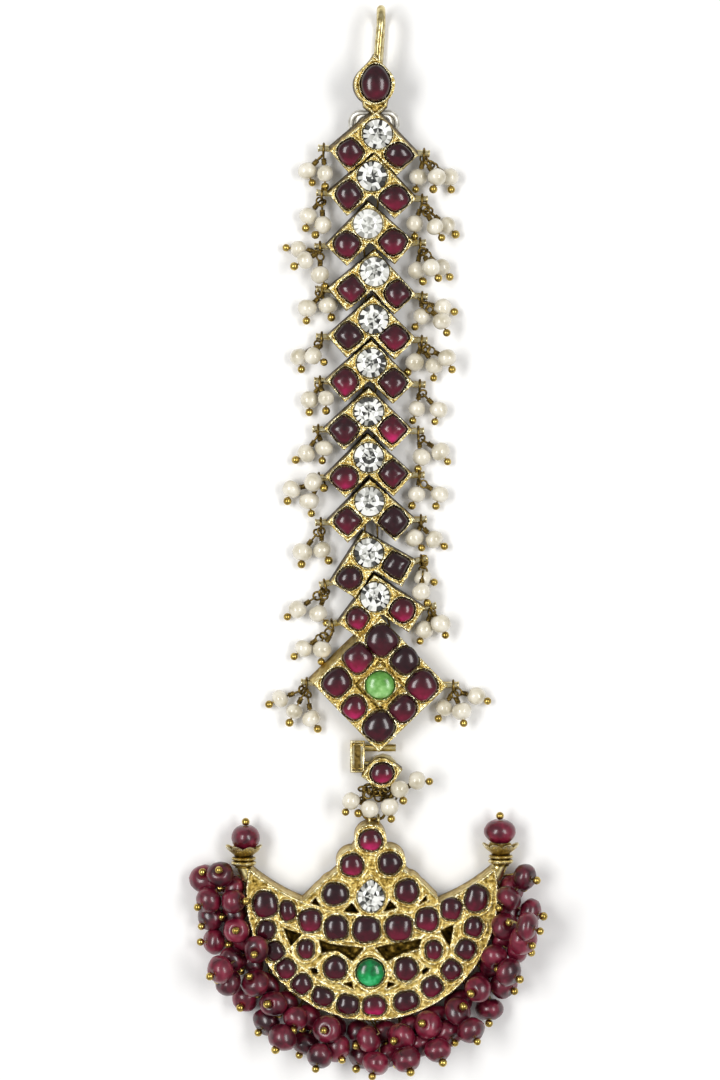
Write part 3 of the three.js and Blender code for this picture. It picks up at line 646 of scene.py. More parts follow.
def cabochon(stone, foot, rise, place, chance, bright=None):
    """Points, faces and glow of one domed stone, with its foot at a height in the setting's frame."""
    flat = girdle(stone)
    points, glow = [(stone["x"], stone["y"], foot + rise)], [0.5]
    drawn = chance.uniform(0.25, 0.75)
    bright = drawn if bright is None else bright
    for ring in range(1, DOME_RINGS + 1):
        lean = 0.5 * math.pi * ring / DOME_RINGS
        share, up = math.sin(lean), math.cos(lean) ** 0.85
        for x, y in flat * share:
            points.append((stone["x"] + x, stone["y"] + y, foot + rise * up))
            # Painted light: the glow is brighter towards the stone's lower side, and painted shade darkens it
            # at the edge
            lower = -y / stone["b"]
            returned = (1 - 0.75 * share**10) * (0.32 + 0.6 * max(0.0, 0.3 + lower))
            glow.append(min(1.0, bright * returned + 0.06))
    glow[0] = bright * 0.5
    for x, y in flat * 0.97:
        points.append((stone["x"] + x, stone["y"] + y, foot - 0.4))
        glow.append(0.0)
    faces = [(0, 1 + k, 1 + (k + 1) % DOME_SIDES) for k in range(DOME_SIDES)]
    for ring in range(DOME_RINGS):
        faces += ring_quads(1 + ring * DOME_SIDES, 1 + (ring + 1) * DOME_SIDES, DOME_SIDES)
    last = 1 + DOME_RINGS * DOME_SIDES
    faces.append(tuple(last + k for k in reversed(range(DOME_SIDES))))
    return [tuple(place @ Vector(p)) for p in points], faces, glow


def brilliant(radius, foot, rise, place, chance, stretch=(1, 1), point_up=0.0, pale=0.0):
    """Points, faces and each face's fire of a round brilliant with table, stars, kites and girdle.

    A pale stone, nearer 1, shows less contrast between its facets.
    """
    rings = [
        [(0.0, 0.0, 0.99)],
        [(0.2, 22.5 + 45 * k, 0.99) for k in range(8)],
        [(0.5, 45 * k, 1.0) for k in range(8)],
        [(0.68, 22.5 * k, 0.8) for k in range(16)],
        [(1.0, 11.25 * k - 5.6, 0.24) for k in range(32)],
        [(0.97, 11.25 * k - 5.6, -0.3) for k in range(32)],
    ]
    points, starts = [], []
    for ring in rings:
        starts.append(len(points))
        for share, degrees, up in ring:
            angle = math.radians(degrees)
            x, y = share * math.cos(angle), share * math.sin(angle)
            narrow = 1 - point_up * max(0.0, y) ** 1.4
            points.append((radius * stretch[0] * x * narrow, radius * stretch[1] * y, foot + rise * up))
    o, t, s, g, b = starts[1:]
    faces, fire = [], []

    def facet(corners, tone):
        faces.append(corners)
        tone = min(1.0, max(0.0, tone + chance.uniform(-0.1, 0.1)))
        fire.append(tone * (1 - pale) + 0.8 * pale)

    for k in range(8):
        n = (k + 1) % 8
        facet((0, o + k, o + n), chance.choice([0.2, 0.5, 0.7]))
        facet((o + k, t + k, t + n), chance.choice([0.15, 0.62, 0.8]))
        facet((t + n, o + n, o + k), chance.choice([0.3, 0.75, 0.1]))
        facet((t + k, s + 2 * k, s + 2 * k + 1), chance.choice([0.72, 0.9, 0.5]))
        facet((t + k, s + 2 * k + 1, t + n), chance.choice([0.85, 0.95, 0.6]))
        facet((t + n, s + 2 * k + 1, s + (2 * k + 2) % 16), chance.choice([0.66, 0.88, 0.35]))
    for k in range(16):
        n = (k + 1) % 16
        facet((s + k, g + 2 * k, g + 2 * k + 1), chance.choice([0.05, 0.12, 0.5, 0.85]))
        facet((s + k, g + 2 * k + 1, g + (2 * k + 2) % 32, s + n), chance.choice([0.95, 0.8, 0.62, 0.2]))
    for k in range(32):
        n = (k + 1) % 32
        facet((g + k, b + k, b + n, g + n), 0.3)
    facet(tuple(b + k for k in reversed(range(32))), 0.0)
    return [tuple(place @ Vector(p)) for p in points], faces, fire


def gather(parts):
    """Several stones as one set of points, faces and numbers."""
    points, faces, numbers = [], [], []
    for some_points, some_faces, some_numbers in parts:
        offset = len(points)
        points.extend(some_points)
        faces.extend(tuple(offset + corner for corner in face) for face in some_faces)
        numbers.extend(some_numbers)
    return points, faces, numbers


def keep_stones(name, parts, material, nodes=(), number="glow", sharp=60):
    points, faces, numbers = gather(parts)
    return keep(name, points, faces, material, nodes, {number: numbers}, sharp=sharp)


# %% [markdown]
# ## The eleven chevron links
# Each link is a chevron with a round brilliant at its point and a ruby in each arm. The links hang
# from each other, so each has its own tilt, and near the hook its own slope. One outline serves all; the
# rubies and their seats differ, as hand work does.

# %% Links: outline, seats and places
LINK_BACK, LINK_THICK = 1.7, 2.0
CORNER_X, CORNER_Y, ARM_WIDTH = 6.6, 6.24, 4.4
WHITE_RADIUS = 2.2
# A white stone this far from the point, or further, keeps its collet inside the outline
WHITE_FROM_POINT = 3.3
COLLET_ROOM = 0.2
ARM_MIDDLE = (3.49, -6.33)
# Chart place of the point, tilt and slope in degrees, lift in millimetres
LINKS = [
    (376, 111, 3, 18, 3.2), (374.6, 153.6, 3.5, 8, 1.35), (368.8, 201.6, -2, 3, 0.37),
    (375, 250, 4, 0, 0), (373.2, 295.8, 2, 0, 0), (371.4, 340.2, 2.1, 0, 0),
    (369, 387.9, 1, 0, 0), (367.9, 434.3, -1.5, 0, 0), (369.8, 479.2, -1.7, 0, 0),
    (363.5, 531.5, -14, 0, 0), (374.3, 574.6, -10, 0, 0),
]
# Chart places of each link's white stone, left ruby and right ruby. A ruby also has its width and height in
# millimetres, its squareness along the chart's axes, and how bright its foil shines.
LINK_STONES = [
    [(377.7, 131.8), (349.0, 151.4, 4.7, 4.9, 1.5, 0.6), (401.5, 154.4, 4.8, 4.1, 1.5, 0.4)],
    [(372.3, 175.5), (348.7, 195, 4.2, 4.6, 1.4, 0.45), (394.6, 198.7, 4.9, 4.1, 1.5, 0.7)],
    [(367.9, 224), (346.9, 244.8, 4.1, 4.0, 1.6, 0.6), (392.9, 241.5, 4.5, 4.2, 1.5, 0.7)],
    [(374.8, 271.7), (351.3, 289.4, 4.3, 4.3, 1.25, 0.65), (397.8, 293.8, 4.2, 4.3, 1.45, 0.5)],
    [(373.7, 319.7), (348.9, 334.9, 4.4, 4.4, 1.35, 0.3), (394.6, 337.8, 4.5, 4.1, 1.3, 0.7)],
    [(371.3, 363.2), (345.1, 382, 4.2, 4.6, 1.4, 0.8), (393.3, 383, 4.3, 4.4, 1.3, 0.5)],
    [(368.8, 411.6), (344.2, 429.9, 4.6, 4.6, 1.35, 0.42), (392.9, 428.4, 4.5, 4.6, 1.25, 1.0)],
    [(368.8, 457.6), (344.4, 478.3, 4.3, 3.9, 1.8, 0.8), (392.7, 473, 4.4, 4.5, 1.25, 0.5)],
    [(369.6, 501.5), (347, 519.9, 4.4, 4.4, 1.3, 0.6), (393.9, 520.9, 4.5, 4.6, 1.3, 0.22)],
    [(368.3, 551), (346.9, 577.8, 4.3, 3.8, 1.9, 0.35), (396, 565.3, 4.4, 4.4, 1.2, 0.2)],
    [(374.3, 592.9), (354.6, 613.9, 3.9, 4.0, 1.6, 0.85), (399.6, 606.5, 4.2, 4.1, 1.7, 0.85)],
]
# White stones whose painted facet reflections are flattened towards pale grey, by the link's number counted
# from nought
PALE_STONES = {2: 0.6, 3: 0.2, 8: 0.25}


def placed(u, v, lift, slope, tilt):
    """A setting's place in millimetres: moved, sloped about X, then tilted about its own Z."""
    turn = Matrix.Rotation(math.radians(slope), 4, "X") @ Matrix.Rotation(math.radians(-tilt), 4, "Z")
    return Matrix.Translation(at(u, v, LINK_BACK + lift)) @ turn


def chevron():
    edge = math.hypot(CORNER_X, CORNER_Y)
    in_x, in_y = -CORNER_Y / edge * ARM_WIDTH, -CORNER_X / edge * ARM_WIDTH
    notch = -ARM_WIDTH * edge / CORNER_X
    end_x, end_y = CORNER_X + in_x, -CORNER_Y + in_y
    left_arm = [(-CORNER_X, -CORNER_Y), (-end_x, end_y)]
    right_arm = [(end_x, end_y), (CORNER_X, -CORNER_Y)]
    return [(0, 0), *left_arm, (0, notch), *right_arm]


def on_plate(place, u, v, height):
    """The point of a setting, at a height in its own frame, that lies under a chart place."""
    inverse = place.inverted()
    spot = inverse @ at(u, v)
    return inverse @ at(u, v, (height - spot.z) / inverse[2][2])


link_places = [placed(u, v, lift, slope, tilt) for u, v, tilt, slope, lift in LINKS]
chance = random.Random(7)
link_rubies, whites = [], []
for index, place in enumerate(link_places):
    white, *rubies = LINK_STONES[index]
    spot = on_plate(place, *white, LINK_THICK)
    y = min(spot.y, -WHITE_FROM_POINT)
    stones = [seat(spot.x, y, WHITE_RADIUS, WHITE_RADIUS)]
    whites.append(
        brilliant(WHITE_RADIUS - 0.03, LINK_THICK + 0.12, 0.75, place @ Matrix.Translation((spot.x, y, 0)),
                  chance, pale=PALE_STONES.get(index, 0.0))
    )
    for side, (u, v, width, height, square, bright) in zip((LEFT, RIGHT), rubies):
        spot = on_plate(place, u, v, LINK_THICK)
        ruby = seat(spot.x, spot.y, width / 2, height / 2, 0, square, cut=True)
        ruby = trimmed(ruby, chevron(), COLLET_ROOM, (side * ARM_MIDDLE[0], ARM_MIDDLE[1]))
        stones.append(ruby)
        link_rubies.append(cabochon(ruby, LINK_THICK + 0.05, 1.3, place, chance, bright))
    number = f"{index + 1:02d}"
    relief_plate(
        f"link_setting_{number}", [chevron()], LINK_THICK, stones, place, 0.12,
        [f"link_{number}"], index, lean=(-0.12, 0.3), flare=0.12,
    )
keep_stones("link_rubies", link_rubies, RUBY)
white_nodes = [f"white_stone_{k:02d}" for k in range(1, len(LINKS) + 1)]
keep_stones("white_brilliants", whites, WHITE, white_nodes, "fire", sharp=0)

# %% [markdown]
# ## The plaque
# A square on its corner with nine seats. The middle one stands up in a diamond collet of its own, so
# its relief gets a plateau with sloping sides before the seat is pressed into it.

# %% Plaque
PLAQUE = {"u": 380, "v": 684.5, "half": 10.1, "thick": 2.7, "tilt": 1}
# Chart places, half sizes in millimetres and glow of the eight rubies round the middle
PLAQUE_RUBIES = [
    (382, 640, 2.3, 0.4), (358, 658, 2.1, 0.8), (405, 660, 2.05, 0.2), (337, 682, 2.1, 0.5),
    (422, 685, 2.2, 0.7), (354.5, 707, 1.85, 0.9), (403, 708, 2.0, 0.55), (379, 726, 2.3, 0.3),
]
MIDDLE_COLLET = {"half": 3.5, "height": 0.5, "slope": 0.5}
plaque_place = placed(PLAQUE["u"], PLAQUE["v"], 0, 0, PLAQUE["tilt"])
plaque_inverse = plaque_place.inverted()
half = PLAQUE["half"]
plaque_outline = [(0, half), (-half, 0), (0, -half), (half, 0)]


def middle_plateau(points):
    reach = np.abs(points[:, 0]) + np.abs(points[:, 1])
    inside = np.clip((MIDDLE_COLLET["half"] - reach) / MIDDLE_COLLET["slope"], 0, 1)
    rim = ridge(reach, MIDDLE_COLLET["half"] - 0.35, 0.22)
    # Painted highlight on the collet's rim, and painted shade in a line just outside it
    return MIDDLE_COLLET["height"] * inside + 0.3 * rim, 0.5 * rim - 0.45 * ridge(reach, 3.75, 0.16)


plaque_stones, plaque_parts = [], []
for u, v, size, bright in PLAQUE_RUBIES:
    spot = plaque_inverse @ at(u, v, LINK_BACK)
    height = size * chance.uniform(0.92, 1.0)
    stone = seat(spot.x, spot.y, size, height, 45, chance.uniform(2.2, 3.0), cut=True)
    plaque_stones.append(stone)
    plaque_parts.append(cabochon(stone, PLAQUE["thick"] + 0.05, 1.3, plaque_place, chance, bright))
green_seat = seat(0, 0, 2.15, 2.05)
relief_plate(
    "plaque_setting", [plaque_outline], PLAQUE["thick"], [*plaque_stones, green_seat], plaque_place,
    0.14, ["plaque"], 31, lift=middle_plateau, lean=(-0.75, 0.65), walls=BRIGHT_WALLS,
)
keep_stones("plaque_rubies", plaque_parts, RUBY)
points, faces, glow = cabochon(green_seat, PLAQUE["thick"] + 0.5, 1.0, plaque_place, chance)
keep("plaque_green_cabochon", points, faces, LIME, ["plaque_green_stone"],
     {"glow": [0.12 + 1.15 * g for g in glow]}, sharp=60)

# %% [markdown]
# ## Crown
# The teardrop at the top is a deep collet round one egg-shaped ruby. Its outline is a smooth curve, drawn
# here with four Bezier arcs, as a maker would bend the strip of the collet.


# %% Crown setting
def bezier(corners, count):
    a, b, c, d = (np.array(corner, dtype=float) for corner in corners)
    steps = np.linspace(0, 1, count, endpoint=False)[:, None]
    rest = 1 - steps
    return rest**3 * a + 3 * rest**2 * steps * b + 3 * rest * steps**2 * c + steps**3 * d


CROWN = {"u": 374.5, "v": 87, "lift": 3.35, "width": 3.05, "top": 4.5, "bottom": 3.2, "thick": 2, "slope": 4,
         "glow": 0.45}
w, top, low = CROWN["width"], CROWN["top"], CROWN["bottom"]
teardrop = np.vstack([
    bezier([(0, top), (-0.9, 2.6), (-w, 1.9), (-w, 0)], 14),
    bezier([(-w, 0), (-w, -1.9), (-1.4, -low), (0, -low)], 12),
    bezier([(0, -low), (1.4, -low), (w, -1.9), (w, 0)], 12),
    bezier([(w, 0), (w, 1.9), (0.9, 2.6), (0, top)], 14),
])
crown_place = placed(CROWN["u"], CROWN["v"], CROWN["lift"], CROWN["slope"], 0)
crown_seat = seat(0.15, 0.1, 2.25, 2.75, 0, 2.1, 0.25)
relief_plate("crown_setting", [teardrop], CROWN["thick"], [crown_seat], crown_place, 0.11,
             ["hook_and_crown"], 41, lean=(-0.25, 0.1))
NECK = {"z": 5.0, "thick": 1.3}
neck_outline = [tuple(at(u, v).xy) for u, v in (
    (362, 100), (363.5, 109), (369, 113.5), (375, 119), (382, 113.5), (386.5, 109), (388, 100),
)]
relief_plate("crown_neck", [neck_outline], NECK["thick"], [], Matrix.Translation((0, 0, NECK["z"])), 0.12,
             (), 43, flare=0.1)
crown_stone = cabochon(crown_seat, CROWN["thick"] + 0.1, 1.5, crown_place, chance, CROWN["glow"])
keep_stones("crown_ruby_cabochon", [crown_stone], RUBY, ["crown_ruby"])

# %% [markdown]
# ## Crescent pendant
# Its outline is the union of a crescent, a crest of round lobes and the ground between them, so the net
# takes all of them at once. Windows are let into the front as recesses, whose floors are coloured dark as
# painted shade. Two long rims, one under the upper row of rubies and one above the lower row, are ridges
# along circles.

# %% Crescent outline, seats and windows
RIM = {"u": 372, "v": 894, "radius": 18.6}
HOLLOW = {"u": 372, "v": 729, "radius": 27.7}
CRESCENT = {"back": 1.4, "thick": 3.0}
WINDOW_DEPTH = 2.0
# Chart place, width and height in millimetres, squareness, turn in degrees
CRESCENT_RUBIES = [
    (265.5, 903.5, 3.6, 3.9, 2.4, 10), (288, 910, 2.2, 2.9, 2.6, 10), (310.4, 919.5, 3.3, 3.3, 2.6, 8),
    (336.3, 926.7, 3.4, 3.5, 2.6, 5), (366.6, 928.6, 4.0, 3.7, 2.6, 0), (398.8, 926.9, 4.0, 3.7, 2.5, 0),
    (427, 918.6, 3.3, 3.3, 2.6, -8), (451.3, 907.7, 3.0, 3.2, 2.6, -10), (476, 897.6, 3.3, 4.0, 2.4, -12),
    (306, 948, 2.4, 2.8, 2.2, 0), (335.4, 967, 3.4, 3.4, 2.0, 0), (406, 968, 3.4, 3.4, 2.0, 0),
    (433.6, 949, 2.4, 2.8, 2.2, 0), (266.6, 929, 2.6, 2.8, 2.6, -20), (275, 950, 2.6, 2.8, 2.6, 30),
    (286, 968, 2.8, 2.8, 2.6, 35), (301, 984, 2.8, 2.8, 2.6, 42), (323, 995.5, 3.2, 2.6, 2.6, -24),
    (348, 1003.5, 3.2, 2.8, 2.6, -12), (374.6, 1004.5, 3.4, 2.8, 2.5, 0), (406, 1000, 3.6, 2.8, 2.6, 15),
    (431.8, 985.7, 3.0, 2.8, 2.6, 32), (451.4, 968.8, 2.8, 2.8, 2.6, 42), (465.7, 948.2, 2.8, 2.8, 2.6, -30),
    (473.6, 926, 2.6, 2.8, 2.5, -15),
]
# Chart place, radius of the lobe, width and height of the ruby
CREST = [
    (370.6, 839.5, 2.4, 3.5, 3.2), (352.3, 864.3, 2.4, 3.4, 3.3), (389.9, 862.5, 2.4, 3.4, 3.3),
    (335.3, 893.2, 2.7, 3.9, 3.3), (406.9, 890.2, 2.6, 3.5, 3.5),
]
# How bright the foil of each of these rubies shines, in the same order
CRESCENT_GLOW = [
    0.45, 0.5, 0.7, 0.3, 0.4, 0.6, 0.7, 0.6, 0.5, 0.55, 0.4, 0.5, 0.65, 0.3, 0.3, 0.6, 0.45, 0.4, 0.3, 0.9,
    0.45, 0.6, 0.5, 0.45, 0.5, 1.0, 0.8, 0.3, 0.25, 0.5,
]
CREST_BASE = [
    (303, 900), (316, 887), (331, 875), (343, 864), (360, 835),
    (381, 835), (399, 863), (412, 875), (425, 884), (438, 897), (438, 915), (303, 918),
]
WINDOWS = [
    [(311.5, 902.5), (315.5, 897.5), (320.5, 906)],
    [(344, 910.5), (351.7, 902.5), (359.3, 912.5)],
    [(383.3, 911), (390, 900), (396.5, 907)],
    [(419, 903.5), (425.8, 895.5), (426.5, 899.5)],
    [(284, 927.5), (302, 934), (291.3, 945)],
    [(440.2, 929.5), (453.4, 924.3), (449.4, 946)],
    [(319.4, 939.2), (336.7, 944.5), (363.5, 947.5), (352.7, 959.9), (336.7, 949.5), (321.7, 951.8)],
    [(376, 947), (389.1, 943.8), (421, 938.5), (418.4, 947.2), (405.2, 951.3), (386.8, 960.4)],
    [(310.3, 968.2), (316.6, 966.8), (318.3, 972), (313.7, 973)],
    [(421.5, 970.2), (425.3, 966.5), (429.3, 968), (423, 974.5)],
    [(344, 983), (351.5, 981), (353, 987.5)],
    [(388, 981), (395.5, 983), (387, 987.5)],
]


def chart_outline(pairs):
    return np.array([tuple(at(u, v).xy) for u, v in pairs])


def arc(middle, radius, angles):
    return np.column_stack([middle.x + radius * np.cos(angles), middle.y + radius * np.sin(angles)])


rim_middle, hollow_middle = at(RIM["u"], RIM["v"]), at(HOLLOW["u"], HOLLOW["v"])
# The rim's foil is folded over the edge, so it stands a little outside the plate
FOLD = 0.3
apart = (hollow_middle - rim_middle).length
tip_up = (RIM["radius"] ** 2 - HOLLOW["radius"] ** 2 + apart**2) / (2 * apart)
tip_out = math.sqrt(RIM["radius"] ** 2 - tip_up**2)
rim_end = math.atan2(tip_up, tip_out)
outer_angles = np.linspace(math.pi - rim_end, 2 * math.pi + rim_end, 160)
inner_end = math.atan2(tip_up - apart, tip_out)
inner_angles = np.linspace(inner_end, -math.pi - inner_end, 120)[1:-1]
crescent_outline = np.vstack([
    arc(rim_middle, RIM["radius"] + FOLD, outer_angles), arc(hollow_middle, HOLLOW["radius"], inner_angles),
])
crescent_outlines = [crescent_outline, chart_outline(CREST_BASE)]
crescent_stones, crescent_parts = [], []
crescent_place = Matrix.Translation((0, 0, CRESCENT["back"]))
for u, v, width, height, square, turn in CRESCENT_RUBIES:
    spot = at(u, v)
    outward = (spot - rim_middle).xy
    over = outward.length + (width + height) / 4 - (RIM["radius"] - 0.25)
    if over > 0:
        spot -= Vector((*(outward.normalized() * over), 0))
    crescent_stones.append(seat(spot.x, spot.y, width / 2 + 0.06, height / 2 + 0.06, turn, square, cut=True))
for u, v, lobe, width, height in CREST:
    spot = at(u, v)
    crescent_outlines.append(arc(spot, lobe, np.linspace(0, 2 * math.pi, 48, endpoint=False)))
    crescent_stones.append(seat(spot.x, spot.y, width / 2, height / 2, 0, 2.2, cut=True))
for stone, bright in zip(crescent_stones, CRESCENT_GLOW):
    crescent_parts.append(cabochon(stone, CRESCENT["thick"] + 0.05, 1.0, crescent_place, chance, bright))
PEAR = {"u": 371, "v": 895, "half_width": 2.05, "half_height": 2.4}
EMERALD_SEAT = {"u": 370.2, "v": 971.4, "half": 2.1}
pear_spot = at(PEAR["u"], PEAR["v"])
emerald_spot = at(EMERALD_SEAT["u"], EMERALD_SEAT["v"])
pear_seat = seat(pear_spot.x, pear_spot.y, PEAR["half_width"], PEAR["half_height"], 0, 2.0, 0.5)
emerald_seat = seat(emerald_spot.x, emerald_spot.y, EMERALD_SEAT["half"], EMERALD_SEAT["half"])
ROW_RIM_UPPER = 31.9
ROW_RIM_LOWER = 15.1


def row_rims(points):
    """Signed distances to the two long rims and to the collets that stand by themselves."""
    from_hollow = np.hypot(points[:, 0] - hollow_middle.x, points[:, 1] - hollow_middle.y)
    from_rim = np.hypot(points[:, 0] - rim_middle.x, points[:, 1] - rim_middle.y)
    far = 9.0
    upper = np.where(from_rim < RIM["radius"] - 0.6, from_hollow - ROW_RIM_UPPER, far)
    lower = np.where(from_hollow > ROW_RIM_UPPER + 0.2, from_rim - ROW_RIM_LOWER, far)
    first = np.where(from_rim < RIM["radius"] - 0.6, from_hollow - HOLLOW["radius"] - 0.25, far)
    collets = []
    for u, v, half_width, half_height, square in (
        (306, 948, 2.05, 2.05, 2), (433.6, 949, 2.05, 2.05, 2), (335.4, 967, 2.9, 2.2, 1.5),
        (406, 968, 2.9, 2.2, 1.5), (370.2, 971.4, 3.3, 3.1, 1.25),
    ):
        spot = at(u, v)
        collets.append(seat_gap(points, seat(spot.x, spot.y, half_width, half_height, 0, square)))
    return [upper, lower, first, *collets]


relief_plate(
    "crescent_setting", crescent_outlines, CRESCENT["thick"], [*crescent_stones, pear_seat, emerald_seat],
    crescent_place, 0.14, ["crescent"], 53,
    windows=[chart_outline(window) for window in WINDOWS], depth=WINDOW_DEPTH, ridges=row_rims,
    lean=(-0.1, 0.45), walls=BRIGHT_WALLS,
)
keep_stones("crescent_rubies", crescent_parts, RUBY)
pear_place = crescent_place @ Matrix.Translation((pear_spot.x, pear_spot.y, 0))
pear_stone = brilliant(
    1.0, CRESCENT["thick"] + 0.1, 0.75, pear_place, chance,
    (PEAR["half_width"] - 0.04, PEAR["half_height"] - 0.04), 0.35,
)
keep_stones("pear_brilliant", [pear_stone], WHITE, ["pear_stone"], "fire", sharp=0)
points, faces, glow = cabochon(emerald_seat, CRESCENT["thick"] + 0.1, 1.1, crescent_place, chance)
keep("emerald_cabochon", points, faces, EMERALD, ["crescent_emerald"],
     {"glow": [0.05 + 1.1 * g for g in glow]}, sharp=60)

# %% [markdown]
# ## Eye-shaped setting
# A small pointed oval with one ruby hangs under the plaque on a folded strip.

# %% Eye-shaped setting
EYE = {"u": 382, "v": 772.7, "half_width": 3.1, "half_height": 2.25, "back": 2.9, "thick": 1.5, "tilt": -10,
       "glow": 0.85}
a, b = EYE["half_width"], EYE["half_height"]
eye_outline = np.vstack([
    bezier([(-a, 0), (-1.9, -1.3), (-1.0, -b), (0, -b)], 10),
    bezier([(0, -b), (1.0, -b), (1.9, -1.3), (a, 0)], 10),
    bezier([(a, 0), (1.9, 1.3), (1.0, b), (0, b)], 10),
    bezier([(0, b), (-1.0, b), (-1.9, 1.3), (-a, 0)], 10),
])
eye_place = Matrix.Translation(at(EYE["u"], EYE["v"], EYE["back"])) @ Matrix.Rotation(
    math.radians(-EYE["tilt"]), 4, "Z"
)
eye_seat = seat(0, 0, 1.75, 1.55)
relief_plate("eye_setting_front", [eye_outline], EYE["thick"], [eye_seat], eye_place, 0.11,
             ["eye_setting"], 61, lean=(0.0, 0.3))
eye_stone = cabochon(eye_seat, EYE["thick"] + 0.05, 1.1, eye_place, chance, EYE["glow"])
keep_stones("eye_ruby_cabochon", [eye_stone], RUBY)

# %% [markdown]
# ## Geometry Nodes for what repeats
# Pearls, beads, balls, rings and pins repeat by the dozen. Each kind has one node tree that runs on a
# seed mesh: its points say where, a vector called axis says which way, and a number called size says how
# large. The sizes that a maker would choose are named inputs. The tree ends by realizing its
# instances and setting the material, and the result is kept as a plain mesh.


# %% Building a tree, and growing a piece from seeds
def new_tree(name, inputs):
    """A Geometry Nodes tree with a geometry input, named inputs and a material input."""
    tree = bpy.data.node_groups.new(name, "GeometryNodeTree")
    tree.interface.new_socket("Geometry", in_out="INPUT", socket_type="NodeSocketGeometry")
    for label, kind, value in inputs:
        socket = tree.interface.new_socket(label, in_out="INPUT", socket_type=kind)
        if value is not None:
            socket.default_value = value
    tree.interface.new_socket("Material", in_out="INPUT", socket_type="NodeSocketMaterial")
    tree.interface.new_socket("Geometry", in_out="OUTPUT", socket_type="NodeSocketGeometry")
    return tree, add_node(tree, "NodeGroupInput")


def finish_tree(tree, given, geometry):
    """Realizes instances, sets the material and smooth shading, and links the output."""
    real = add_node(tree, "GeometryNodeRealizeInstances", {"Geometry": geometry})
    smooth = add_node(tree, "GeometryNodeSetShadeSmooth", {"Geometry": real.outputs["Geometry"]})
    painted = add_node(
        tree, "GeometryNodeSetMaterial",
        {"Geometry": smooth.outputs["Geometry"], "Material": given.outputs["Material"]},
    )
    add_node(tree, "NodeGroupOutput", {"Geometry": painted.outputs["Geometry"]})


def instances_on_seeds(tree, given, shape, scale=None):
    """Instances of a shape on the seeds, each along its axis and scaled by its size."""
    axis = add_node(tree, "GeometryNodeInputNamedAttribute", {"Name": "axis"}, data_type="FLOAT_VECTOR")
    size = add_node(tree, "GeometryNodeInputNamedAttribute", {"Name": "size"}, data_type="FLOAT")
    turn = add_node(
        tree, "FunctionNodeAlignRotationToVector", {"Vector": axis.outputs["Attribute"]}, axis="Z"
    )
    scale_by = size.outputs["Attribute"]
    if scale is not None:
        scale_by = add_node(
            tree, "ShaderNodeVectorMath", {0: scale, "Scale": scale_by}, operation="SCALE"
        ).outputs["Vector"]
    return add_node(
        tree, "GeometryNodeInstanceOnPoints",
        {"Points": given.outputs["Geometry"], "Instance": shape, "Rotation": turn.outputs["Rotation"],
         "Scale": scale_by},
    ).outputs["Instances"]


def grow(name, tree, seeds, values, material, nodes=(), edges=()):
    """Runs a tree on seeds: rows of place in millimetres, axis, size and tone."""
    mesh = bpy.data.meshes.new(name)
    places = [tuple(Vector(seed[0]) * MM) for seed in seeds]
    mesh.from_pydata(places, list(edges), [])
    axes = np.array([tuple(seed[1]) for seed in seeds], dtype=np.float32)
    mesh.attributes.new("axis", "FLOAT_VECTOR", "POINT").data.foreach_set("vector", axes.ravel())
    for key, column in (("size", 2), ("tone", 3)):
        numbers = np.array([seed[column] for seed in seeds], dtype=np.float32)
        mesh.attributes.new(key, "FLOAT", "POINT").data.foreach_set("value", numbers)
    piece = add_object(name, mesh)
    modifier = piece.modifiers.new("grow", "NODES")
    modifier.node_group = tree
    values = {**values, "Material": material}
    for item in tree.interface.items_tree:
        if item.in_out == "INPUT" and item.name in values:
            modifier[item.identifier] = values[item.name]
    depsgraph = bpy.context.evaluated_depsgraph_get()
    result = bpy.data.meshes.new_from_object(piece.evaluated_get(depsgraph), depsgraph=depsgraph)
    piece.modifiers.clear()
    piece.data = result
    result.name = name
    return dress(piece, nodes)


# %% [markdown]
# ### A rounded bead or pearl
# A sphere squeezed along its hole, dimpled where the hole is, then pushed in and out by a little noise.
# The same tree serves pearls and ruby beads with other inputs.


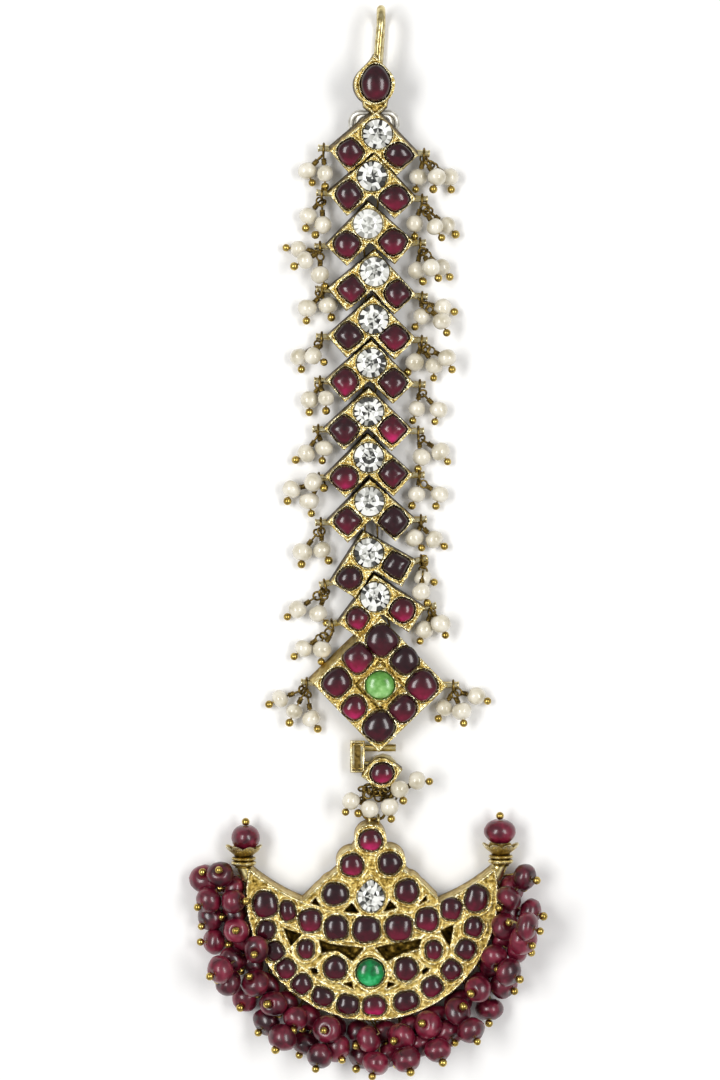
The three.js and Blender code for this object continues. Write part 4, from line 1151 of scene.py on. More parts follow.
# %% Tree of beads and pearls
def bead_tree():
    tree, given = new_tree("drilled_bead", [
        ("Radius", "NodeSocketFloat", 2 * MM), ("Flatness", "NodeSocketFloat", 0.85),
        ("Dimple", "NodeSocketFloat", 0.7), ("Unevenness", "NodeSocketFloat", 0.05 * MM),
        ("Lump size", "NodeSocketFloat", 1.5 * MM), ("Seed", "NodeSocketInt", 1),
    ])
    ball = add_node(tree, "GeometryNodeMeshUVSphere", {"Segments": 24, "Rings": 14, "Radius": 1.0})
    place = add_node(tree, "GeometryNodeInputPosition").outputs["Position"]
    parts = add_node(tree, "ShaderNodeSeparateXYZ", {"Vector": place})
    level = add_node(tree, "ShaderNodeCombineXYZ", {"X": parts.outputs["X"], "Y": parts.outputs["Y"]})
    reach = add_node(tree, "ShaderNodeVectorMath", {0: level.outputs["Vector"]}, operation="LENGTH")
    dip = add_node(
        tree, "ShaderNodeMapRange",
        {"Value": reach.outputs["Value"], "From Max": 0.5, "To Min": given.outputs["Dimple"], "To Max": 1.0},
        interpolation_type="SMOOTHSTEP",
    )
    squeezed = calculate(tree, "MULTIPLY", parts.outputs["Z"], given.outputs["Flatness"])
    height = calculate(tree, "MULTIPLY", squeezed, dip.outputs["Result"])
    pressed = add_node(
        tree, "ShaderNodeCombineXYZ", {"X": parts.outputs["X"], "Y": parts.outputs["Y"], "Z": height}
    )
    full = add_node(
        tree, "ShaderNodeVectorMath", {0: pressed.outputs["Vector"], "Scale": given.outputs["Radius"]},
        operation="SCALE",
    )
    shape = add_node(
        tree, "GeometryNodeSetPosition",
        {"Geometry": ball.outputs["Mesh"], "Position": full.outputs["Vector"]},
    )
    stretch = add_node(
        tree, "FunctionNodeRandomValue",
        {"Min": (0.91, 0.91, 0.93), "Max": (1.07, 1.07, 1.07), "Seed": given.outputs["Seed"]},
        data_type="FLOAT_VECTOR",
    )
    many = instances_on_seeds(tree, given, shape.outputs["Geometry"], stretch.outputs["Value"])
    real = add_node(tree, "GeometryNodeRealizeInstances", {"Geometry": many}).outputs["Geometry"]
    where = add_node(tree, "GeometryNodeInputPosition").outputs["Position"]
    closeness = calculate(tree, "DIVIDE", 1.0, given.outputs["Lump size"])
    lumps = add_node(tree, "ShaderNodeTexNoise", {"Vector": where, "Scale": closeness, "Detail": 1.0})
    middle = calculate(tree, "SUBTRACT", lumps.outputs["Fac"], 0.5)
    amount = calculate(tree, "MULTIPLY", middle, given.outputs["Unevenness"])
    normal = add_node(tree, "GeometryNodeInputNormal").outputs["Normal"]
    push = add_node(tree, "ShaderNodeVectorMath", {0: normal, "Scale": amount}, operation="SCALE")
    lumpy = add_node(tree, "GeometryNodeSetPosition", {"Geometry": real, "Offset": push.outputs["Vector"]})
    finish_tree(tree, given, lumpy.outputs["Geometry"])
    return tree


BEADS = bead_tree()

# %% [markdown]
# ### Rings, balls and wire
# A ring is a circle swept by a smaller circle. A ball is a small sphere. Wire follows the edges of its
# seed mesh, swept by a circle, with its ends closed.


# %% Trees of rings, balls and wire
def ring_tree():
    tree, given = new_tree("wire_ring", [
        ("Ring radius", "NodeSocketFloat", 0.8 * MM), ("Wire radius", "NodeSocketFloat", 0.17 * MM),
    ])
    loop = add_node(
        tree, "GeometryNodeCurvePrimitiveCircle", {"Resolution": 20, "Radius": given.outputs["Ring radius"]}
    )
    section = add_node(
        tree, "GeometryNodeCurvePrimitiveCircle", {"Resolution": 8, "Radius": given.outputs["Wire radius"]}
    )
    shape = add_node(
        tree, "GeometryNodeCurveToMesh",
        {"Curve": loop.outputs["Curve"], "Profile Curve": section.outputs["Curve"]},
    )
    finish_tree(tree, given, instances_on_seeds(tree, given, shape.outputs["Mesh"]))
    return tree


def ball_tree():
    tree, given = new_tree("pin_ball", [("Radius", "NodeSocketFloat", 0.6 * MM)])
    shape = add_node(
        tree, "GeometryNodeMeshUVSphere", {"Segments": 16, "Rings": 10, "Radius": given.outputs["Radius"]}
    )
    finish_tree(tree, given, instances_on_seeds(tree, given, shape.outputs["Mesh"]))
    return tree


def wire_tree():
    tree, given = new_tree("wire_along_edges", [("Wire radius", "NodeSocketFloat", 0.2 * MM)])
    path = add_node(tree, "GeometryNodeMeshToCurve", {"Mesh": given.outputs["Geometry"]})
    section = add_node(
        tree, "GeometryNodeCurvePrimitiveCircle", {"Resolution": 12, "Radius": given.outputs["Wire radius"]}
    )
    shape = add_node(
        tree, "GeometryNodeCurveToMesh",
        {"Curve": path.outputs["Curve"], "Profile Curve": section.outputs["Curve"], "Fill Caps": True},
    )
    finish_tree(tree, given, shape.outputs["Mesh"])
    return tree


RINGS, BALLS, WIRES = ring_tree(), ball_tree(), wire_tree()


def rings(name, seeds, radius, wire_radius, material):
    """A ring of wire on each seed, its lengths in millimetres."""
    values = {"Ring radius": radius * MM, "Wire radius": wire_radius * MM}
    return grow(name, RINGS, seeds, values, material)


def pin_balls(name, seeds, radius, material=GILT_BALL):
    return grow(name, BALLS, seeds, {"Radius": radius * MM}, material)


def wire(name, paths, radius, material, closed=False):
    """Wire along several paths, each a list of places in millimetres."""
    seeds, edges = [], []
    for path in paths:
        first = len(seeds)
        seeds.extend((place, (0, 0, 1), 1.0, 0.0) for place in path)
        edges.extend((first + k, first + k + 1) for k in range(len(path) - 1))
        if closed:
            edges.append((len(seeds) - 1, first))
    return grow(name, WIRES, seeds, {"Wire radius": radius * MM}, material, (), edges)


# %% [markdown]
# ## Seed pearls on pins
# Each side corner carries a short tube, a jump ring round it, and two or three pearls on head pins
# whose tops are wrapped into small loops. Lying down, a pearl sinks until it meets the surface or
# what lies there already.

# %% Pearl clusters: places of pearls and of the ball under each
STUB = {"radius": 0.5, "inside": 1.3, "outside": 1.7, "drop": 0.35}
HANG = {"out": 0.95, "radius": 1.0}
PEARL = 1.42
BALL = 0.62
# Chart place of each pearl and of its ball, in the order in which they come to lie
PEARLS_LEFT = [
    [(307, 169, 313, 183), (325, 172.5, 325, 185)],
    [(308, 214, 305, 228), (323, 224, 315, 234)],
    [(298, 247.5, 287, 246), (320, 274, 325, 285), (305, 260, 294, 266)],
    [(307, 307, 306, 320), (328, 304, 331, 315)],
    [(299, 356, 301, 368), (313, 356, 324, 362)],
    [(309.5, 399, 309, 412.5), (326, 398, 326, 410)],
    [(306, 453, 296, 459), (324, 448, 322, 461)],
    [(291, 489, 287, 501), (309, 501, 311, 513), (313, 482, 324, 488)],
    [(302, 552, 301, 566), (322, 550, 328, 560)],
    [(297, 610, 286, 618), (318, 614, 326.5, 624)],
    [(303, 649, 294, 657), (322, 650, 321, 662)],
]
PEARLS_RIGHT = [
    [(419, 175, 416, 187), (450, 175, 452, 189), (437, 177, 433, 190)],
    [(415, 222, 415, 235), (447, 224, 455.6, 232), (435, 227, 442, 238)],
    [(417, 269, 424, 281), (442, 266, 451, 276), (431, 268, 439, 279)],
    [(422, 315, 415, 326), (443, 307, 454, 310), (442, 321, 447, 333)],
    [(415, 361, 408, 371), (434.5, 364.5, 434, 377), (447, 358, 452, 369)],
    [(417, 408, 413, 420), (439, 409, 435, 422)],
    [(422, 456.5, 418, 469), (441, 451, 448, 461)],
    [(417, 494, 412, 506), (440, 494, 436, 507)],
    [(414.5, 538, 422, 548), (434.5, 539.5, 445, 546.5)],
    [(423, 578, 436, 583), (421, 592, 428, 604)],
    [(424.5, 630, 420, 643), (441, 624, 445.5, 635)],
]
PLAQUE_LEFT = [(279.5, 699.6, 267.5, 706), (311, 719.5, 318, 731), (294, 712, 289, 724)]
PLAQUE_RIGHT = [(477, 697, 488, 702), (445, 709, 438, 721), (462, 711.5, 464, 724)]


def settle(place, radius, laid, close=1.0):
    """Drops a ball until it touches the surface or what lies there; close under 1 lets flat beads nest."""
    place.z = radius
    for other, size in laid:
        reach = close * (radius + size + 0.05)
        apart = (place.xy - other.xy).length
        if apart < reach:
            place.z = max(place.z, other.z + math.sqrt(reach**2 - apart**2))
    laid.append((place, radius))
    return place


def corner_hanger(place, side, x, y):
    return place @ Vector((side * (x + HANG["out"]), y, -STUB["drop"]))


clusters = []
for index, place in enumerate(link_places):
    for side, word, table in ((LEFT, "left", PEARLS_LEFT), (RIGHT, "right", PEARLS_RIGHT)):
        clusters.append((f"pearls_{word}_{index + 1:02d}", corner_hanger(place, side, CORNER_X, -CORNER_Y),
                         place.to_3x3() @ Vector((1, 0, 0)), table[index]))
for side, word, table in ((LEFT, "left", PLAQUE_LEFT), (RIGHT, "right", PLAQUE_RIGHT)):
    clusters.append((f"plaque_pearls_{word}", corner_hanger(plaque_place, side, PLAQUE["half"], 0),
                     plaque_place.to_3x3() @ Vector((1, 0, 0)), table))
print("clusters:", len(clusters))

# %% Pearls, pins, wrapped loops and jump rings
JUMP_RING = {"radius": 0.92, "wire": 0.19}
EYE_RING = {"radius": 0.56, "wire": 0.15}
WRAP = {"turns": 4, "pitch": 0.24, "radius": 0.3, "wire": 0.12}
PIN_WIRE = 0.13
# How far a pin's ball stands out from its pearl
BALL_OUT = 0.45
laid = [(anchor, HANG["radius"]) for _, anchor, _, _ in clusters]
pearls, balls, pins, jump_rings, eye_rings, wraps, pearl_nodes = [], [], [], [], [], [], []


def any_way(up):
    """A random direction, more upright the larger up is."""
    return Vector((chance.uniform(-1, 1), chance.uniform(-1, 1), up)).normalized()


def hang_pearl(pearl, ball_place, hanger):
    """One pearl with its pin, ball, wrapped wire and loop; hanger is where the loop is held."""
    down = ball_place - pearl
    down.z = 0
    down.normalize()
    pearls.append((pearl, down, chance.uniform(0.94, 1.04), chance.uniform(0, 0.1)))
    ball_at = pearl + down * (PEARL + BALL_OUT)
    ball_at.z = max(BALL, pearl.z - 0.3)
    balls.append((ball_at, down, chance.uniform(0.9, 1.05), 0.0))
    up = (hanger - pearl).normalized()
    top = pearl + up * (PEARL - 0.1)
    pins.append([ball_at, pearl, top + up * (WRAP["turns"] * WRAP["pitch"])])
    for turn in range(WRAP["turns"]):
        wraps.append((top + up * (turn * WRAP["pitch"] + 0.15), up, 1.0, 0.0))
    loop_at = top + up * (WRAP["turns"] * WRAP["pitch"] + EYE_RING["radius"])
    side = up.cross(Vector((0, 0, 1))).normalized()
    facing = side if chance.random() < 0.5 else Vector((0.3, 0.2, 1)).normalized()
    eye_rings.append((loop_at, facing, 1.0, 0.0))
    spare_rings = int((hanger - loop_at).length / 0.9)
    for k in range(1, spare_rings + 1):
        eye_rings.append((loop_at.lerp(hanger, k / (spare_rings + 1)), any_way(0.8), 1.1, 0.0))


for name, anchor, axis, table in clusters:
    places = [settle(at(u, v), PEARL, laid) for u, v, _, _ in table]
    middle = sum(places, Vector()) / len(places)
    pull = middle - anchor
    pull -= axis * pull.dot(axis)
    hanger = anchor + pull.normalized() * JUMP_RING["radius"]
    jump_rings.append((anchor + pull.normalized() * 0.25, axis, 1.0, 0.0))
    for pearl, (_, _, ball_u, ball_v) in zip(places, table):
        hang_pearl(pearl, at(ball_u, ball_v, pearl.z), hanger)
    pearl_nodes.append(name)

# %% [markdown]
# The pendant's own ring, a long oval of wire under the eye-shaped setting, carries five more pearls.

# %% Long carrying ring and its pearls
CARRY = {"u": 374, "from_v": 785.5, "to_v": 820, "half_width": 1.6, "corner": 0.8, "wire": 0.22, "z": 1.9}
# Height of the pearls' middles, and the chart place of each pearl and its ball
EYE_PEARL_Z = 4.4
EYE_PEARLS = [
    (417, 780, 431.6, 781.4), (350.7, 800.5, 344, 815), (399.7, 788.5, 404, 803),
    (389.7, 806.3, 391.4, 820), (369.8, 808.4, 358, 813),
]
# Loose links that lie in a heap on the ring
TANGLE = {"count": 13, "u": (359, 390), "v": (786, 801), "z": (2.5, 3.9)}
carry_middle = at(CARRY["u"], (CARRY["from_v"] + CARRY["to_v"]) / 2, CARRY["z"])
carry_half = (CARRY["to_v"] - CARRY["from_v"]) * STEP / 2
for u, v, ball_u, ball_v in EYE_PEARLS:
    pearl = at(u, v, EYE_PEARL_Z)
    side = RIGHT if pearl.x > carry_middle.x else LEFT
    hanger = carry_middle + Vector((side * CARRY["half_width"], 0, 0.4))
    hang_pearl(pearl, at(ball_u, ball_v, EYE_PEARL_Z), hanger)
    balls[-1] = (pearl + (balls[-1][0] - pearl).normalized() * (PEARL + BALL_OUT), *balls[-1][1:])
for _ in range(TANGLE["count"]):
    spot = at(chance.uniform(*TANGLE["u"]), chance.uniform(*TANGLE["v"]), chance.uniform(*TANGLE["z"]))
    eye_rings.append((spot, any_way(0.6), 1.1, 0.0))
pearl_nodes.append("eye_pearls")


def oval_path(middle, half_width, half_length, corner, slope=0.0):
    points = []
    for k in range(40):
        angle = 2 * math.pi * k / 40
        x = math.copysign(half_width - corner, math.cos(angle)) + corner * math.cos(angle)
        y = math.copysign(half_length - corner, math.sin(angle)) + corner * math.sin(angle)
        points.append(middle + Matrix.Rotation(math.radians(slope), 3, "X") @ Vector((x, y, 0)))
    return points


wire("carrying_ring", [oval_path(carry_middle, CARRY["half_width"], carry_half, CARRY["corner"])],
     CARRY["wire"], ANTIQUE_BRASS, closed=True)
grow("seed_pearls", BEADS, pearls,
     {"Radius": PEARL * MM, "Flatness": 0.94, "Dimple": 0.86, "Unevenness": 0.3 * MM, "Lump size": 1.9 * MM,
      "Seed": 3}, NACRE, pearl_nodes)
pin_balls("pearl_pin_balls", balls, BALL)
wire("pearl_pins", pins, PIN_WIRE, ANTIQUE_BRASS)
rings("jump_rings", jump_rings, JUMP_RING["radius"], JUMP_RING["wire"], ANTIQUE_BRASS)
rings("pearl_loops", eye_rings, EYE_RING["radius"], EYE_RING["wire"], ANTIQUE_BRASS)
rings("wrapped_wire", wraps, WRAP["radius"], WRAP["wire"], ANTIQUE_BRASS)

# %% [markdown]
# ## Hook, ring and the joints behind the links
# The hook is one round wire that rises from the crown, turns over in a half circle and comes down
# behind. Staples of wire on each link pass through a lug under the next link's point.

# %% Hook and back ring
HOOK = {"u": 378, "top_u": 381, "wire": 0.65, "top_v": 5, "root_v": 66, "end_v": 72, "rest_z": 0.68}
hook_front = LINK_BACK + CROWN["lift"] + CROWN["thick"] / 2
hook_radius = (hook_front - HOOK["rest_z"]) / 2
turn_y = at(0, HOOK["top_v"]).y - HOOK["wire"] - hook_radius
root_y = at(0, HOOK["root_v"]).y
end_y = at(0, HOOK["end_v"]).y
lean = (HOOK["top_u"] - HOOK["u"]) * STEP
RISE_STEPS, TURN_STEPS, BACK_STEPS = 12, 24, 8
hook_path = []
for k in range(RISE_STEPS + 1):
    share = k / RISE_STEPS
    x = at(HOOK["u"], 0).x + lean * share**1.5
    hook_path.append(Vector((x, root_y + (turn_y - root_y) * share, hook_front)))
top_x = hook_path[-1].x
for k in range(1, TURN_STEPS + 1):
    angle = math.pi * k / TURN_STEPS
    z = hook_front - hook_radius * (1 - math.cos(angle))
    hook_path.append(Vector((top_x, turn_y + hook_radius * math.sin(angle), z)))
for k in range(1, BACK_STEPS + 1):
    y = turn_y - (turn_y - end_y) * k / BACK_STEPS
    hook_path.append(Vector((top_x - lean * k / BACK_STEPS, y, HOOK["rest_z"])))
wire("hook_wire", [hook_path], HOOK["wire"], GOLD_WIRE)
# A thin dark wire along the top of the hook is a painted reflection: a dark line running along its polish
DARK_REFLECTION = {"sway": 0.1, "wire": 0.09}
dark_reflection_line = [hook_path[k] + Vector((DARK_REFLECTION["sway"] * math.sin(2.4 * k), 0, HOOK["wire"] - 0.02))
        for k in range(1, RISE_STEPS - 1)]
wire("hook_dark_reflection", [dark_reflection_line], DARK_REFLECTION["wire"], ANTIQUE_BRASS)
pin_balls("hook_tip", [(hook_path[-1], (0, 1, 0), 1.0, 0.0)], HOOK["wire"], GOLD_WIRE)
BACK_RING = {"u": 374, "v": 123.4, "z": 3.43, "half_width": 3.5, "half_length": 1.65, "corner": 1.5,
             "slope": 20}
ring_middle = at(BACK_RING["u"], BACK_RING["v"], BACK_RING["z"])
ring_paths = [
    oval_path(ring_middle, BACK_RING["half_width"] - inset, BACK_RING["half_length"] - 0.4 * inset,
              BACK_RING["corner"] - 0.4 * inset, BACK_RING["slope"])
    for inset in (0.15, 1.05)
]
back_ring = wire("back_ring_wire", ring_paths, 0.52, PALE_METAL, closed=True)
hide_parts("back_ring")

# %% Lugs, staples, tube stubs and bars
LUG = {"y": -1.6, "radius": 0.55, "wire": 0.28}
STAPLE = {"half": 0.92, "root": -5.9, "depth": 0.8}
CROWN_STAPLE = {"half": 0.92, "root": -1.0, "depth": 2.2}
STAPLE_WIRE = 0.18
TUBE_RIM = {"radius": 0.46, "wire": 0.13}
carriers = [(crown_place, CROWN_STAPLE)] + [(place, STAPLE) for place in link_places]
carried = [(place, 0.0) for place in link_places] + [(plaque_place, PLAQUE["half"])]
staples, lugs, tubes = [], [], []
for (place, kind), (below, tip) in zip(carriers, carried):
    eye = below @ Vector((0, tip + LUG["y"], -kind["depth"]))
    hole = place.inverted() @ eye
    half = kind["half"]
    left_leg = [(-half, kind["root"], 0.15), (-half, hole.y, hole.z)]
    right_leg = [(half, hole.y, hole.z), (half, kind["root"], 0.15)]
    staples.append([place @ Vector(corner) for corner in left_leg + right_leg])
    lugs.append((eye, below.to_3x3() @ Vector((1, 0, 0)), 1.0, 0.0))
    if kind is CROWN_STAPLE:
        stem = [below @ Vector((0, tip + LUG["y"], 0.1)), eye + Vector((0, 0, LUG["radius"]))]
        staples.append(stem)
tube_places = [(place, CORNER_X, -CORNER_Y) for place in link_places]
tube_places.append((plaque_place, PLAQUE["half"], 0))
for place, x, y in tube_places:
    for side in (LEFT, RIGHT):
        tubes.append([place @ Vector((side * (x + reach), y, -STUB["drop"] + 0.1))
                      for reach in (-STUB["inside"], STUB["outside"])])
wire("link_staples", staples, STAPLE_WIRE, ANTIQUE_BRASS)
rings("link_lugs", lugs, LUG["radius"], LUG["wire"], GOLD_WIRE)
wire("corner_tubes", tubes, STUB["radius"], GOLD_STRIP)
tube_ends = [(path[1], (path[1] - path[0]).normalized(), 1.0, 0.0) for path in tubes]
rings("corner_tube_rims", tube_ends, TUBE_RIM["radius"], TUBE_RIM["wire"], GOLD_STRIP)
BAR_Z = 1.3
# Each bar's name, chart row, two ends and radius in millimetres
BARS = [("plaque_bar", 749, 350, 396, 0.55), ("eye_bar", 765.5, 350, 384, 0.5)]
for name, v, from_u, to_u, radius in BARS:
    wire(name, [[at(from_u, v, BAR_Z), at(to_u, v, BAR_Z)]], radius, GOLD_WIRE)
EYE_BOSS = {"radius": 2.25, "right": 0.15, "up": 0.42, "z": 0.7}
boss_middle = at(EYE["u"], EYE["v"]) + Vector((EYE_BOSS["right"], EYE_BOSS["up"], 0))
boss_path = [boss_middle + Vector((0, 0, z)) for z in (EYE_BOSS["z"], EYE["back"] + 0.6)]
wire("eye_boss", [boss_path], EYE_BOSS["radius"], GOLD_WIRE)
EYE_LOOP = {"u": 375, "v": 786, "z": 1.9}
LOOP = {"radius": 0.73, "wire": 0.22}
NECK_LOOPS = {"us": (369.5, 378.5), "v": 821.2}
loops = [(at(EYE_LOOP["u"], EYE_LOOP["v"], EYE_LOOP["z"]), (1, 0, 0), 1.0, 0.0)]
loops += [(at(u, NECK_LOOPS["v"], CARRY["z"]), (1, 0, 0), 1.0, 0.0) for u in NECK_LOOPS["us"]]
rings("pendant_loops", loops, LOOP["radius"], LOOP["wire"], GOLD_WIRE)
strip = frame["nodes"]["pendant_bail"]
strip.data.materials.clear()
strip.data.materials.append(GOLD_STRIP)
corners = [strip.matrix_world @ Vector(corner) / MM for corner in strip.bound_box]
low_x, high_x = min(c.x for c in corners), max(c.x for c in corners)
low_y, high_y = min(c.y for c in corners), max(c.y for c in corners)
strip_top = max(c.z for c in corners)
STRIP_EDGE, STRIP_SHADE_INSET, SHADE_FOOT, SHADE_RISE = 0.16, 0.62, -0.2, 0.06


def strip_corners(inset, rise):
    """The strip's corners, drawn in by an inset, at a height above its top."""
    low, high = (low_x + inset, low_y + inset), (high_x - inset, high_y - inset)
    return [(x, y, strip_top + rise) for x, y in (low, (high[0], low[1]), high, (low[0], high[1]))]


wire("strip_edges", [strip_corners(STRIP_EDGE, 0.0)], 0.2, GOLD_STRIP, closed=True)
# Painted shade: a dark slab within the strip's rim stands for the shade in the strip's hollow
shade_points = strip_corners(STRIP_SHADE_INSET, SHADE_FOOT) + strip_corners(STRIP_SHADE_INSET, SHADE_RISE)
shade_faces = [(3, 2, 1, 0), (4, 5, 6, 7), (0, 1, 5, 4), (1, 2, 6, 5), (2, 3, 7, 6), (3, 0, 4, 7)]
keep("strip_hollow_shade", shade_points, shade_faces, ANTIQUE_BRASS, sharp=0)

# %% [markdown]
# ## Finials at the horns
# Each horn ends in a neck, a collar of wire and a cup of petals that holds a ruby bead. A lathe turns
# the profile, and the petals come from a wave added to the radius and height near the mouth.

# %% Cups of petals and their beads
FINIALS = [
    {"foot": (249, 878), "cup": (243.5, 847), "bead": (245.5, 838), "size": 2.3},
    {"foot": (494, 878), "cup": (501, 845), "bead": (500.2, 832), "size": 2.25},
]
CUP_Z = 2.9
# Radius, height and painted light of the cup's profile, from its foot to its mouth and back inside: painted
# shade inside, painted highlight on the petals
CUP_PROFILE = [
    (0.0, -1.2, 0.3), (1.25, -1.2, 0.3), (1.3, -0.9, 0.3), (1.75, -0.75, 0.6), (1.9, -0.5, 0.9),
    (1.75, -0.25, 0.6), (1.35, -0.15, 0.15), (1.75, 0.02, 0.6), (1.85, 0.2, 0.9), (1.7, 0.4, 0.5),
    (1.3, 0.5, 0.15), (1.5, 0.8, 0.5), (2.0, 1.2, 0.6), (2.45, 1.65, 0.8), (2.7, 2.0, 1.0),
    (2.62, 2.05, 0.9), (2.2, 1.6, 0.4), (1.5, 1.0, 0.1), (0.0, 0.8, 0.0),
]
PETALS = 8
CUP_SIDES = 64


def petal_cup(middle):
    points, faces, painted_light = [], [], []
    for radius, height, tone in CUP_PROFILE:
        open_share = min(1.0, max(0.0, (height - 0.9) / 1.1)) if radius > 1.4 else 0.0
        for k in range(CUP_SIDES):
            angle = 2 * math.pi * k / CUP_SIDES
            wave = abs(math.sin(PETALS * angle / 2))
            out = radius * (1 + open_share * (0.16 * wave - 0.08))
            up = height + open_share * (0.45 * wave - 0.3)
            points.append((middle.x + out * math.cos(angle), middle.y + up, middle.z - out * math.sin(angle)))
            # Painted highlight: the petals' tips are painted lighter than the dips between them
            painted_light.append(tone * (0.75 + 0.25 * wave))
    for ring in range(len(CUP_PROFILE) - 1):
        faces += ring_quads(ring * CUP_SIDES, (ring + 1) * CUP_SIDES, CUP_SIDES)
    return points, faces, painted_light


cup_parts, necks, finial_beads = [], [], []
for finial in FINIALS:
    cup_middle = at(*finial["cup"], CUP_Z) + Vector((0, -2.0, 0))
    cup_parts.append(petal_cup(cup_middle))
    necks.append([at(*finial["foot"], CUP_Z), cup_middle + Vector((0, -0.9, 0))])
    finial_beads.append((at(*finial["bead"], CUP_Z), (0, 1, 0), finial["size"] / 2.05, 0.02))
points, faces, painted_light = gather(cup_parts)
cups = keep("petal_cups", points, faces, GOLD_FOIL, (), {"painted_light": painted_light}, sharp=40)
wire("horn_necks", necks, 1.15, GOLD_WIRE)
grow("finial_beads", BEADS, finial_beads,
     {"Radius": 2.05 * MM, "Flatness": 0.92, "Dimple": 0.85, "Unevenness": 0.25 * MM, "Lump size": 1.6 * MM,
      "Seed": 5}, BEAD_RUBY, ["finial_bead_left", "finial_bead_right"])
finial_balls = [(seed[0] + Vector((0, 2.35, 0)), (0, 1, 0), 1.0, 0.0) for seed in finial_beads]
pin_balls("finial_balls", finial_balls, 0.6)

# %% [markdown]
# ## Ruby fringe
# Dozens of tumbled ruby beads hang on head pins from a wire behind the crescent's rim. Some lie with the
# ball of their pin towards the viewer, some on their side. The bead's hole points at its ball, so
# the axis of each bead comes from the two places on the chart.

# %% Fringe beads: places and axes
BEAD = 2.05
# Flattened beads nest closer than round ones
NEST = 0.84
CARRIER = {"out": 0.37, "z": 0.95, "wire": 0.22, "reach": 0.55}
PIN_REACH = 2.15
FRINGE_PIN_WIRE = 0.16
FOOT_RING = {"radius": 0.6, "wire": 0.16}
# Chart place of each bead and of its ball, those underneath first
FRINGE = [
    (204, 880, 202.6, 871.7), (234, 900, 246.8, 899), (210, 919, 201, 927), (213.6, 943, 199.8, 943),
    (232.4, 959.4, 226.4, 969.7), (229, 980, 218.5, 976), (245, 1000, 240.3, 1007.8),
    (266.6, 1024.5, 258, 1033.5), (296, 1016.3, 293.6, 1027.2), (305, 1044.5, 297.7, 1060),
    (336.6, 1047.5, 342.2, 1057.7),
    (361.8, 1058.4, 356, 1070), (388.7, 1056, 397, 1064), (421.2, 1044, 429.5, 1050.6),
    (448.5, 1032.7, 454.5, 1040.3), (490, 1011, 489.3, 1025), (504, 985.5, 514.5, 991),
    (517.2, 949, 530.9, 951), (530.2, 911.5, 543.1, 915.4), (524.5, 876.3, 536, 878.8),
    (508, 896, 498.2, 906.2), (504.5, 925, 508, 919), (521.5, 935.7, 530, 940), (493.5, 954.8, 497, 966.3),
    (477.8, 987, 469.5, 989.3), (457.4, 1008.7, 462.5, 1002), (428, 1022.8, 421.2, 1019),
    (401.3, 1034.8, 393.3, 1036.5), (368.3, 1037, 354.3, 1044), (327, 1027.2, 324, 1025.4),
    (273.8, 1001.8, 268, 1000), (255.4, 981.5, 250, 972.8), (257, 946.5, 255.4, 949.7),
    (237, 929, 237, 927), (209, 900, 198, 906), (220.4, 873.5, 219.8, 867.7),
    (222, 965, 212, 970), (283, 1034, 276, 1046), (320, 1052, 316, 1064), (376, 1060, 372, 1072),
    (406, 1054, 410, 1066), (437, 1046, 442, 1057), (470, 1026, 476, 1036), (507, 968, 518, 974),
    (524, 920, 537, 924),
]
front = CRESCENT["back"] + CRESCENT["thick"]
# Beads that lie lowest, close along the rim, mostly hidden by the others
UNDER = {"out": 2.5, "from": 178, "to": 362, "count": 18, "ball_out": 12}
for k in range(UNDER["count"]):
    angle = math.radians(UNDER["from"] + (UNDER["to"] - UNDER["from"]) * k / (UNDER["count"] - 1))
    reach_out = RIM["radius"] + UNDER["out"]
    c, s = math.cos(angle), math.sin(angle)
    spot_u, spot_v = RIM["u"] + reach_out * c / STEP, RIM["v"] - reach_out * s / STEP
    FRINGE.insert(k, (spot_u, spot_v, spot_u + UNDER["ball_out"] * c, spot_v - UNDER["ball_out"] * s))
bead_seeds, ball_seeds, pin_paths, foot_rings, bead_laid = [], [], [], [], []
for u, v, ball_u, ball_v in FRINGE:
    bead = settle(at(u, v), BEAD, bead_laid, NEST)
    out = (bead - rim_middle).xy
    past = out.length - RIM["radius"]
    if past < 0.3:
        bead.z = max(bead.z, front + BEAD + 0.1)
    elif past < BEAD + 0.1:
        bead.z = max(bead.z, front - 0.3 + math.sqrt(max(0, (BEAD + 0.1) ** 2 - past**2)))
    flat = (at(ball_u, ball_v) - at(u, v)).xy
    flat_length = min(flat.length, PIN_REACH)
    axis = Vector((*(flat.normalized() * flat_length), math.sqrt(PIN_REACH**2 - flat_length**2))).normalized()
    bead_seeds.append((bead, axis, chance.uniform(0.96, 1.1), chance.uniform(-0.14, 0.12)))
    ball_seeds.append((bead + axis * (BEAD * 0.88 + 0.3), axis, chance.uniform(0.9, 1.05), 0.0))
    direction = out.normalized()
    foot = Vector((rim_middle.x, rim_middle.y, CARRIER["z"]))
    foot += Vector((*(direction * (RIM["radius"] + CARRIER["out"])), 0))
    pin_paths.append([foot, bead - axis * (BEAD * 0.9), bead, ball_seeds[-1][0]])
    foot_rings.append((foot, Vector((-direction.y, direction.x, 0)), 1.0, 0.0))
print("highest bead:", round(max(seed[0].z for seed in bead_seeds) + BEAD, 2), "mm")

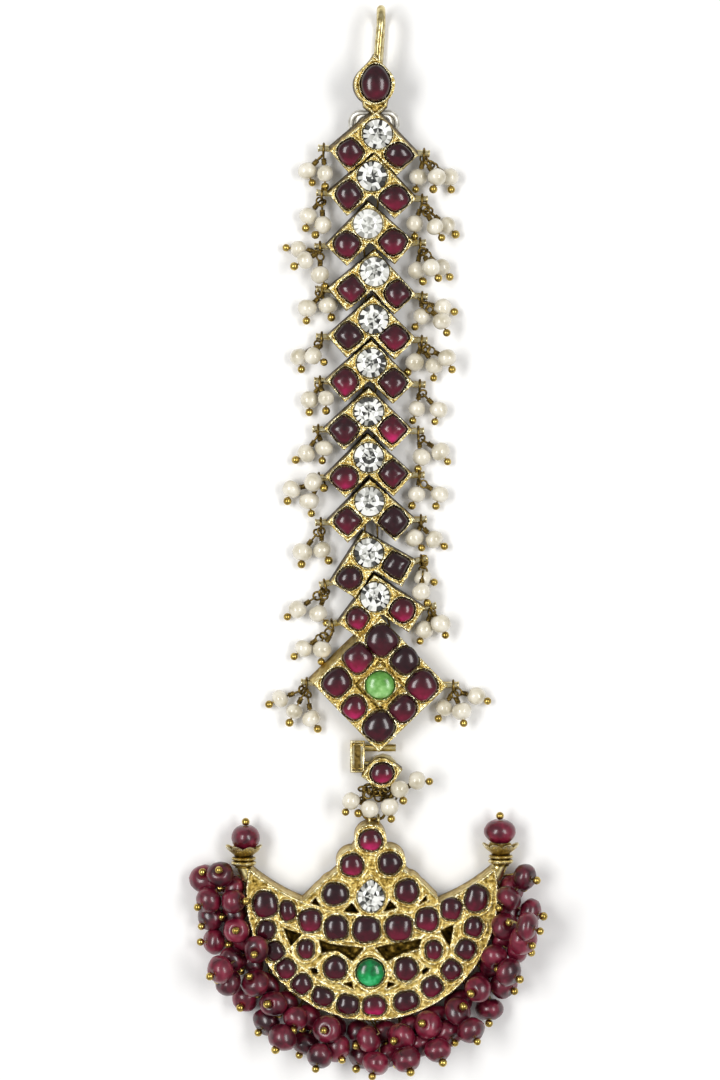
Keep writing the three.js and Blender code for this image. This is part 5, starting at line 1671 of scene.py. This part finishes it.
# %% Fringe: beads, balls, pins and the wire that carries them
grow("fringe_beads", BEADS, bead_seeds,
     {"Radius": BEAD * MM, "Flatness": 0.84, "Dimple": 0.72, "Unevenness": 0.42 * MM, "Lump size": 1.7 * MM,
      "Seed": 9}, BEAD_RUBY, ["ruby_fringe"])
pin_balls("fringe_balls", ball_seeds, BALL)
wire("fringe_pins", pin_paths, FRINGE_PIN_WIRE, GOLD_WIRE)
rings("fringe_loops", foot_rings, FOOT_RING["radius"], FOOT_RING["wire"], GOLD_WIRE)
carrier_angles = np.linspace(math.pi - CARRIER["reach"] / 2, 2 * math.pi + CARRIER["reach"] / 2, 90)
carrier_arc = arc(rim_middle, RIM["radius"] + CARRIER["out"], carrier_angles)
carrier_path = [Vector((x, y, CARRIER["z"])) for x, y in carrier_arc]
wire("fringe_carrier", [carrier_path], CARRIER["wire"], GOLD_WIRE)

# %% [markdown]
# ## Floor, light and camera
# The jewel lies on a pale sheet under soft studio light. Two tall soft boxes, left and right, give every
# domed stone its pair of upright highlights; a pale room fills the shadows. The camera looks straight
# down, framed so that one chart step at the height of the settings is one picture step.

# %% Floor and world
floor_mesh = bpy.data.meshes.new("floor")
FLOOR_HALF = 1.5
floor_mesh.from_pydata(
    [(-FLOOR_HALF, -FLOOR_HALF, 0), (FLOOR_HALF, -FLOOR_HALF, 0), (FLOOR_HALF, FLOOR_HALF, 0),
     (-FLOOR_HALF, FLOOR_HALF, 0)], [], [(0, 1, 2, 3)]
)
floor = add_object("floor", floor_mesh)
paper, paper_tree, paper_shader = new_material("white_card")
paper_shader.inputs["Base Color"].default_value = linear("#f7f6f4")
paper_shader.inputs["Roughness"].default_value = 0.9
floor_mesh.materials.append(paper)
world = bpy.data.worlds.new("studio")
world.use_nodes = True
world.node_tree.nodes["Background"].inputs["Color"].default_value = linear("#f4f5f7")
world.node_tree.nodes["Background"].inputs["Strength"].default_value = 0.42
bpy.context.scene.world = world
bpy.context.scene.view_settings.view_transform = "Standard"


# %% Soft boxes and camera
def soft_box(name, place, width, height, power):
    light = bpy.data.lights.new(name, "AREA")
    light.shape = "RECTANGLE"
    light.size, light.size_y = width, height
    light.energy = power
    lamp = add_object(name, light)
    lamp.location = place
    lamp.rotation_euler = (Vector((0, 0, 0)) - Vector(place)).to_track_quat("-Z", "Y").to_euler()


soft_box("left_soft_box", (-0.34, 0.03, 0.55), 0.42, 0.17, 2.4)
soft_box("right_soft_box", (0.34, 0.03, 0.55), 0.42, 0.17, 1.9)
LENS, SENSOR = 85.0, 36.0
PICTURE_MIDDLE = (360, 540)
PICTURE_TALL = 2 * PICTURE_MIDDLE[1] * STEP
FOCUS_PLANE = 3.6
camera_data = bpy.data.cameras.new("camera")
camera_data.lens = LENS
camera_data.sensor_width = SENSOR
camera = add_object("camera", camera_data)
camera.location = at(*PICTURE_MIDDLE, FOCUS_PLANE + PICTURE_TALL * LENS / SENSOR) * MM
bpy.context.scene.camera = camera
print("camera height:", round(camera.location.z, 4), "m")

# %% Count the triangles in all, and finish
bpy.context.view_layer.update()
total = sum(len(face.vertices) - 2 for piece in bpy.data.objects if piece.type == "MESH"
            for face in piece.data.polygons)
print("triangles in all:", total)
